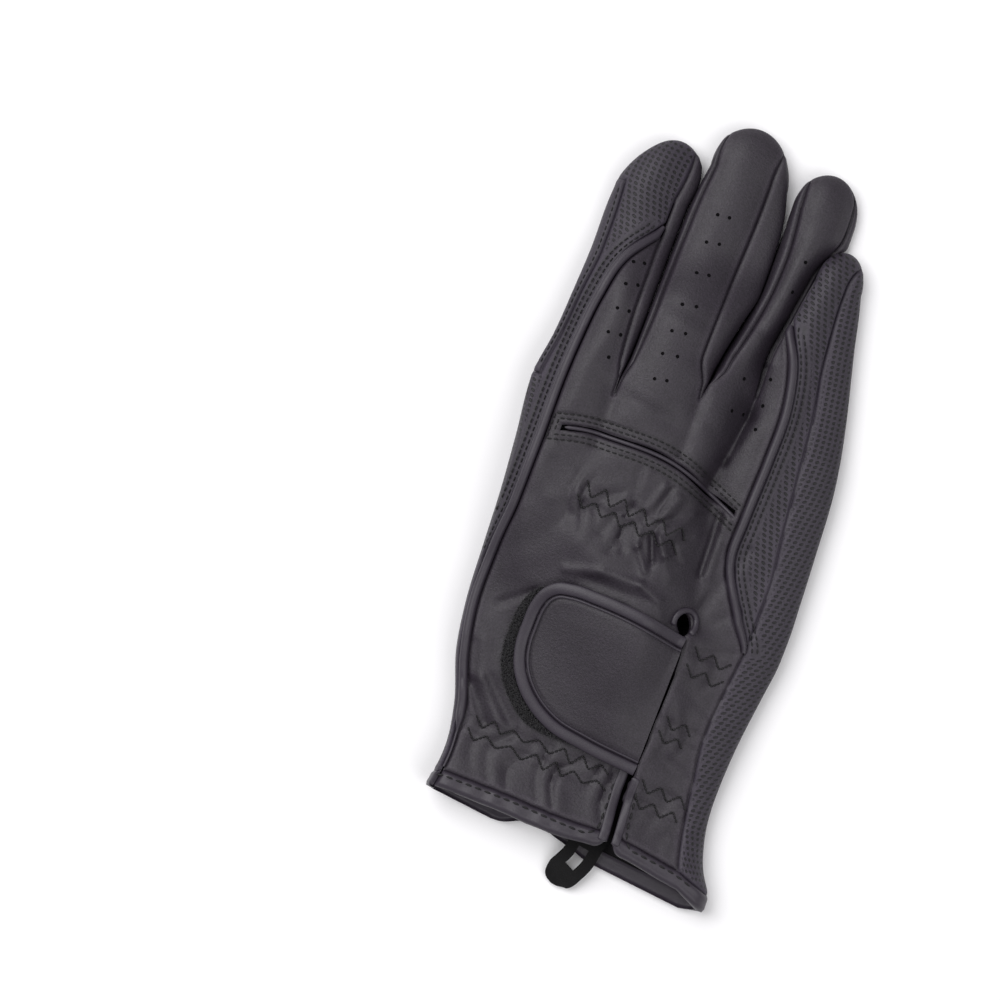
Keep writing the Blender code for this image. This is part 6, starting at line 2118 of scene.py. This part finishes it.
class GLOVE_OT_pull_tab(bpy.types.Operator):
    """Make the felt pull tab with its slot"""

    bl_idname = "glove.pull_tab"
    bl_label = "Pull tab"

    def execute(self, context):
        colours = context.scene.glove_colours
        middle = np.column_stack([column(TAB_COLUMNS, TAB, name) for name in ("x", "y")])
        height = column(TAB_COLUMNS, TAB, "z")
        run = run_along(middle)
        even = np.linspace(0, run[-1], 72)
        plan = np.column_stack([curve_through(run, middle[:, i])(even) for i in (0, 1)])
        end = np.maximum(0, even - (run[-1] - TAB_HALF)) / TAB_HALF
        width = TAB_HALF * np.sqrt(np.maximum(1 - end ** 2, 0.004))
        z = curve_through(run, height)(even)
        along = normalised(np.gradient(plan, axis=0))
        across = np.column_stack([along[:, 1], -along[:, 0]])
        steps = np.linspace(-1, 1, 33)
        place = plan[:, None] + across[:, None] * (width[:, None] * steps)[..., None]
        low = np.concatenate([place, np.broadcast_to(z[:, None, None], place.shape[:2] + (1,))], axis=-1)
        soft = 0.16 * (1 - steps ** 6)
        high = low + np.stack([0 * soft, 0 * soft, TAB_THICK - 0.16 + soft], axis=-1)
        row_y = (plan[1:, 1] + plan[:-1, 1]) / 2
        step = (steps[1:] + steps[:-1]) / 2
        in_slot = (row_y < TAB_SLOT[0]) & (row_y > TAB_SLOT[1])
        keep = ~(in_slot[:, None] & (np.abs(step) < TAB_SLOT_HALF))
        points, faces = slab(low, high, keep)
        tab = new_piece("pull_tab_felt", points, faces, material(felt, colours), ("pull_tab",),
                        flat_uv(points, faces))
        # The cut: a strip with a round end, less its slot.
        return {"FINISHED"}


def line_path(name, low, high, beside):
    """The plan path of a line from one y to another, moved sideways; positive is to its left."""
    y = np.linspace(low, high, max(3, int(abs(high - low) / 0.8)))
    return offset_plan(np.column_stack([line_x(name, y), y]), beside)


def vent_path(kind, beside, first, last):
    """A plan path along one lip of the knuckle vent."""
    x = np.linspace(first, last, 70)
    return np.column_stack([x, VENT_AT[kind](x) + beside])


def back_stitch_paths():
    """The rows of stitches on the back: beside both pipings, round the vent, beside the slit."""
    pipings = piping_paths()
    thumb_side = pipings["piping_thumb_side"][::2, :2]
    little_side = pipings["piping_little_side"][::2, :2]
    paths = [offset_plan(thumb_side, beside) for beside in (2.45, 4.0)]
    paths += [offset_plan(little_side, -beside) for beside in (2.6, 4.3)]
    for beside in (1.7, 3.3):
        left = VENT_LEFT - beside
        paths.append(vent_path("high", beside, left, VENT_RIGHT))
        paths.append(vent_path("low", -beside, left, VENT_RIGHT))
        corner_y = float(VENT_AT["high"](left)) + beside, float(VENT_AT["low"](left)) - beside
        paths.append(np.array([[left, corner_y[0]], [left, corner_y[1]]]))
    return paths + [line_path("over", 34, 95, 1.3)]


def cuff_stitch_paths():
    """The rows of larger stitches: the inner edges of the cuff's binding and of the slit's two bindings."""
    y_hem = {name: float(body_y(name)[row_number("hem")]) for name in BACK_LINES}
    left = [(float(line_x(name, y_hem[name])), y_hem[name] - 1.6)
            for name in ("over", "pipe_in", "c1", "c2")]
    left += [(15.6, -99.0), (19.0, -97.4), (19.9, -90.0), (19.6, -78.0)]
    right = [(27.2, -81.0), (28.2, -88.0), (29.2, -95.0), (31.0, -98.4), (36.0, -99.4)]
    right += [(float(line_x("side", y_hem["side"])), y_hem["side"] - 1.5), (56.0, -103.8)]
    return [smooth_path(left), smooth_path(right)]


def palm_stitch_paths():
    """Rows round the thumb's oval, along the overlay and along the cuff, on the palm side."""
    turn = np.radians(np.linspace(150, 400, 160)) % (2 * math.pi)
    paths = [hole_rim(turn, beyond) for beyond in (1.6, 3.2)]
    paths += [line_path("palm_l", 22, 92, beside) for beside in (1.4, 2.9)]
    hem_row = row_number("hem")
    hem = [(float(line_x(name, body_y(name)[hem_row])), float(body_y(name)[hem_row]) - 1.2)
           for name in PALM_LINES[::-1]]
    return paths + [smooth_path(hem)]


class GLOVE_OT_stitches(bpy.types.Operator):
    """Sew the rows of straight stitches on the back, the cuff and the palm"""

    bl_idname = "glove.stitches"
    bl_label = "Stitches"

    def execute(self, context):
        sizes, colours = context.scene.glove_sizes, context.scene.glove_colours
        above, below = relief(1), relief(-1)
        points, faces = stitches(back_stitch_paths(), above, sizes)
        new_piece("stitches_back", points, faces, material(thread, colours))
        points, faces = stitches(cuff_stitch_paths(), above, sizes, sizes.cuff_pitch / MM, CUFF_THREAD)
        new_piece("stitches_cuff", points, faces, material(thread, colours))
        points, faces = stitches(palm_stitch_paths(), below, sizes)
        new_piece("stitches_palm", points, faces, material(thread, colours))
        return {"FINISHED"}


class GLOVE_OT_elastics(bpy.types.Operator):
    """Sew the zigzag rows that hold the elastics"""

    bl_idname = "glove.elastics"
    bl_label = "Elastic seams"

    def execute(self, context):
        sizes, colours = context.scene.glove_sizes, context.scene.glove_colours
        for side, name in ((1, "zigzags_back"), (-1, "zigzags_palm")):
            paths = []
            for row in ELASTICS:
                seam = dict(zip(ELASTIC_COLUMNS, row))
                if seam["side"] == side:
                    paths += [zigzag(seam, level) for level in (0.0, -seam["apart"])]
            points, faces = stitches(paths, relief(side), sizes, 1.3, sizes.zigzag_radius / MM)
            new_piece(name, points, faces, material(thread, colours))
        return {"FINISHED"}


class GLOVE_OT_perforations(bpy.types.Operator):
    """Lay the rows of small punched holes on the backs of the fingers, each a dark disc of painted shade with
    a low rim
    """

    bl_idname = "glove.perforations"
    bl_label = "Perforations"

    def execute(self, context):
        sizes, colours = context.scene.glove_sizes, context.scene.glove_colours
        plan = np.column_stack([column(PERFORATION_COLUMNS, PERFORATIONS, name) for name in ("x", "y")])
        centre, normal = relief(1).place(plan)
        radius = sizes.hole_radius / MM
        sides = 12
        turn = 2 * math.pi * np.arange(sides) / sides
        across = normalised(np.cross(normal, (0.0, 1.0, 0.0)))
        up = np.cross(normal, across)
        # Rings from the rim inwards: radius as a share of the hole's, and height above the leather.
        profile = np.array([(1.5, -0.06), (1.25, 0.05), (1.0, 0.04), (0.85, 0.02), (0.0, 0.015)])
        ring = centre[:, None, None] + radius * profile[:, 0, None, None] * (
            np.cos(turn)[:, None] * across[:, None, None] + np.sin(turn)[:, None] * up[:, None, None])
        ring = ring + profile[:, 1, None, None] * normal[:, None, None]
        one = grid_faces(len(profile), sides, around=True)[:, ::-1]
        step = len(profile) * sides
        faces = (one + step * np.arange(len(plan))[:, None, None]).reshape(-1, 4)
        points = ring.reshape(-1, 3)
        # Every ring is dark: the disc is painted shade for the hole, and the leather under it stays whole.
        made = new_piece("perforations", points, faces, material(hole_painted_shade, colours))
        bottom_closed(made)
        return {"FINISHED"}


def bottom_closed(made):
    """Merges the points that meet at the middle of each hole and closes its underside."""
    work = bmesh.new()
    work.from_mesh(made.data)
    bmesh.ops.remove_doubles(work, verts=work.verts[:], dist=1e-6)
    bmesh.ops.holes_fill(work, edges=work.edges[:], sides=0)
    bmesh.ops.recalc_face_normals(work, faces=work.faces[:])
    work.to_mesh(made.data)
    work.free()


EYELET_RIM = (3.6, 4.3)
EYELET_RIM_RADIUS = 1.0
EYELET_RIM_TURN = (205.0, -40.0)
# The bindings of the wrist slit: width, how far the middle lies off the slit's edge, and the y range.
SLIT_BINDING_COLUMNS = ("name", "side", "width", "off", "low", "high")
SLIT_BINDINGS = (
    ("slit_binding_left", -1, 3.2, 1.25, -99.5, -72.0),
    ("slit_binding_right", 1, 2.7, 1.1, -99.5, -77.0),
)
SLIT_BINDING_FLATNESS = 0.36


class GLOVE_OT_slit_edges(bpy.types.Operator):
    """Make the rolled rim of the eyelet, the bindings of the wrist slit and the vent's inner lip"""

    bl_idname = "glove.slit_edges"
    bl_label = "Eyelet, slit and vent edges"

    def execute(self, context):
        turn = np.radians(np.linspace(*EYELET_RIM_TURN, 80))
        plan = np.column_stack([float(LINE["slit"](EYELET_Y)) - 0.2 + EYELET_RIM[0] * np.cos(turn),
                                EYELET_Y + EYELET_RIM[1] * np.sin(turn)])
        self.roll(context, "eyelet_rim", plan, EYELET_RIM_RADIUS, 0.85, 0.25)
        for row in SLIT_BINDINGS:
            strip = dict(zip(SLIT_BINDING_COLUMNS, row))
            y = np.linspace(strip["low"], strip["high"], int((strip["high"] - strip["low"]) / 0.8))
            x = LINE["slit"](y) + strip["side"] * (SLIT_HALF + strip["off"])
            self.roll(context, strip["name"], np.column_stack([x, y]), strip["width"] / 2,
                      SLIT_BINDING_FLATNESS, 0.0)
        x = np.linspace(VENT_LEFT + 1.0, VENT_RIGHT, 150)
        y = (VENT_AT["high"](x) + VENT_AT["low"](x)) / 2 - 0.1
        self.roll(context, "vent_inner_lip", np.column_stack([x, y]), 0.62, 0.8, -0.55, open_below=True)
        return {"FINISHED"}

    def roll(self, context, name, plan, radius, flat, rise, open_below=False):
        """A flattened roll of leather along a plan path, risen off the leather and thinner at both ends.

        Over an opening its height is that of the back around it.
        """
        plan = along_path(plan, np.linspace(0, path_length(plan), int(path_length(plan) / 0.5)))
        centre, normal = relief(1).place(plan)
        if open_below:
            centre[:, 2] = back_z(plan[:, 0], plan[:, 1]) + bulge(plan[:, 0], plan[:, 1])
            normal = np.broadcast_to((0.0, 0.0, 1.0), centre.shape)
        padded = np.pad(centre[:, 2], 3, mode="edge")
        centre[:, 2] = np.convolve(padded, np.ones(7) / 7, mode="valid")
        run = np.linspace(0, 1, len(centre))
        end = np.minimum(1, 0.35 + 40 * np.minimum(run, 1 - run))
        points, faces = tubes((centre + rise * normal)[None], normal[None], (radius * end)[None], 16, flat)
        new_piece(name, points, faces, material(piping_leather, context.scene.glove_colours),
                  (), flat_uv(points, faces))


class GLOVE_OT_stage(bpy.types.Operator):
    """Make the pale floor, the soft studio light and the camera above the glove"""

    bl_idname = "glove.stage"
    bl_label = "Stage"

    def execute(self, context):
        scene, colours = context.scene, context.scene.glove_colours
        mesh = bpy.data.meshes.new("floor")
        reach, under = 3.0, -0.0002
        mesh.from_pydata([(-reach, -reach, under), (reach, -reach, under), (reach, reach, under),
                          (-reach, reach, under)], [], [(0, 1, 2, 3)])
        mesh.materials.append(material(floor_paper, colours))
        floor = bpy.data.objects.new("floor", mesh)
        scene.collection.objects.link(floor)
        world = bpy.data.worlds.new("studio")
        world.use_nodes = True
        world.node_tree.nodes["Background"].inputs["Color"].default_value = (1.0, 1.0, 1.0, 1.0)
        world.node_tree.nodes["Background"].inputs["Strength"].default_value = 0.36
        scene.world = world
        self.softbox("key_softbox", (-1.1, 0.5, 1.6), 1.8, 36.0)
        self.softbox("fill_softbox", (1.0, -0.3, 1.6), 1.4, 12.0)
        self.camera(scene)
        scene.view_settings.view_transform = "Standard"
        return {"FINISHED"}

    def softbox(self, name, place, size, power):
        """A square area light that faces the glove."""
        light = bpy.data.lights.new(name, "AREA")
        light.size = size
        light.energy = power
        made = bpy.data.objects.new(name, light)
        made.location = place
        bpy.context.scene.collection.objects.link(made)
        bpy.context.view_layer.update()
        to_glove = -made.location.normalized()
        made.rotation_euler = to_glove.to_track_quat("-Z", "Y").to_euler()

    def camera(self, scene):
        """Straight above the image's middle point, turned so that the hand leans as photographed."""
        data = bpy.data.cameras.new("camera")
        data.sensor_width = SENSOR
        data.lens = SENSOR * (CAMERA_HEIGHT - MEASURED_HEIGHT) / (IMAGE_SCALE * IMAGE_PIXELS * MM)
        made = bpy.data.objects.new("camera", data)
        made.location = ((IMAGE_MIDDLE[0] - PLAN_CENTRE[0]) * MM, (IMAGE_MIDDLE[1] - PLAN_CENTRE[1]) * MM,
                         CAMERA_HEIGHT)
        made.rotation_euler = (0.0, 0.0, math.radians(IMAGE_TURN))
        scene.collection.objects.link(made)
        scene.camera = made


OPERATORS = (
    GLOVE_OT_back, GLOVE_OT_palm, GLOVE_OT_side_panels, GLOVE_OT_finger_walls, GLOVE_OT_thumb,
    GLOVE_OT_cuff_binding, GLOVE_OT_pipings, GLOVE_OT_strap, GLOVE_OT_loop_pad, GLOVE_OT_pull_tab,
    GLOVE_OT_stitches, GLOVE_OT_elastics, GLOVE_OT_perforations, GLOVE_OT_slit_edges, GLOVE_OT_stage,
)


class GLOVE_PT_panel(bpy.types.Panel):
    """The glove's sizes, colours and pieces"""

    bl_idname = "GLOVE_PT_panel"
    bl_label = "Horse Riding Glove"
    bl_space_type = "VIEW_3D"
    bl_region_type = "UI"
    bl_category = "Glove"

    def draw(self, context):
        for group in (context.scene.glove_sizes, context.scene.glove_colours):
            for name in group.__annotations__:
                self.layout.prop(group, name)
        for operator in OPERATORS:
            self.layout.operator(operator.bl_idname)


CLASSES = (GloveSizes, GloveColours) + OPERATORS + (GLOVE_PT_panel,)


def register():
    for made in CLASSES:
        bpy.utils.register_class(made)
    bpy.types.Scene.glove_sizes = PointerProperty(type=GloveSizes)
    bpy.types.Scene.glove_colours = PointerProperty(type=GloveColours)


def unregister():
    del bpy.types.Scene.glove_colours
    del bpy.types.Scene.glove_sizes
    for made in reversed(CLASSES):
        bpy.utils.unregister_class(made)


def main():
    register()
    bpy.ops.glove.back()
    bpy.ops.glove.palm()
    bpy.ops.glove.side_panels()
    bpy.ops.glove.finger_walls()
    bpy.ops.glove.thumb()
    bpy.ops.glove.cuff_binding()
    bpy.ops.glove.pipings()
    bpy.ops.glove.strap()
    bpy.ops.glove.loop_pad()
    bpy.ops.glove.pull_tab()
    bpy.ops.glove.stitches()
    bpy.ops.glove.elastics()
    bpy.ops.glove.perforations()
    bpy.ops.glove.slit_edges()
    bpy.ops.glove.stage()


if __name__ == "__main__":
    main()
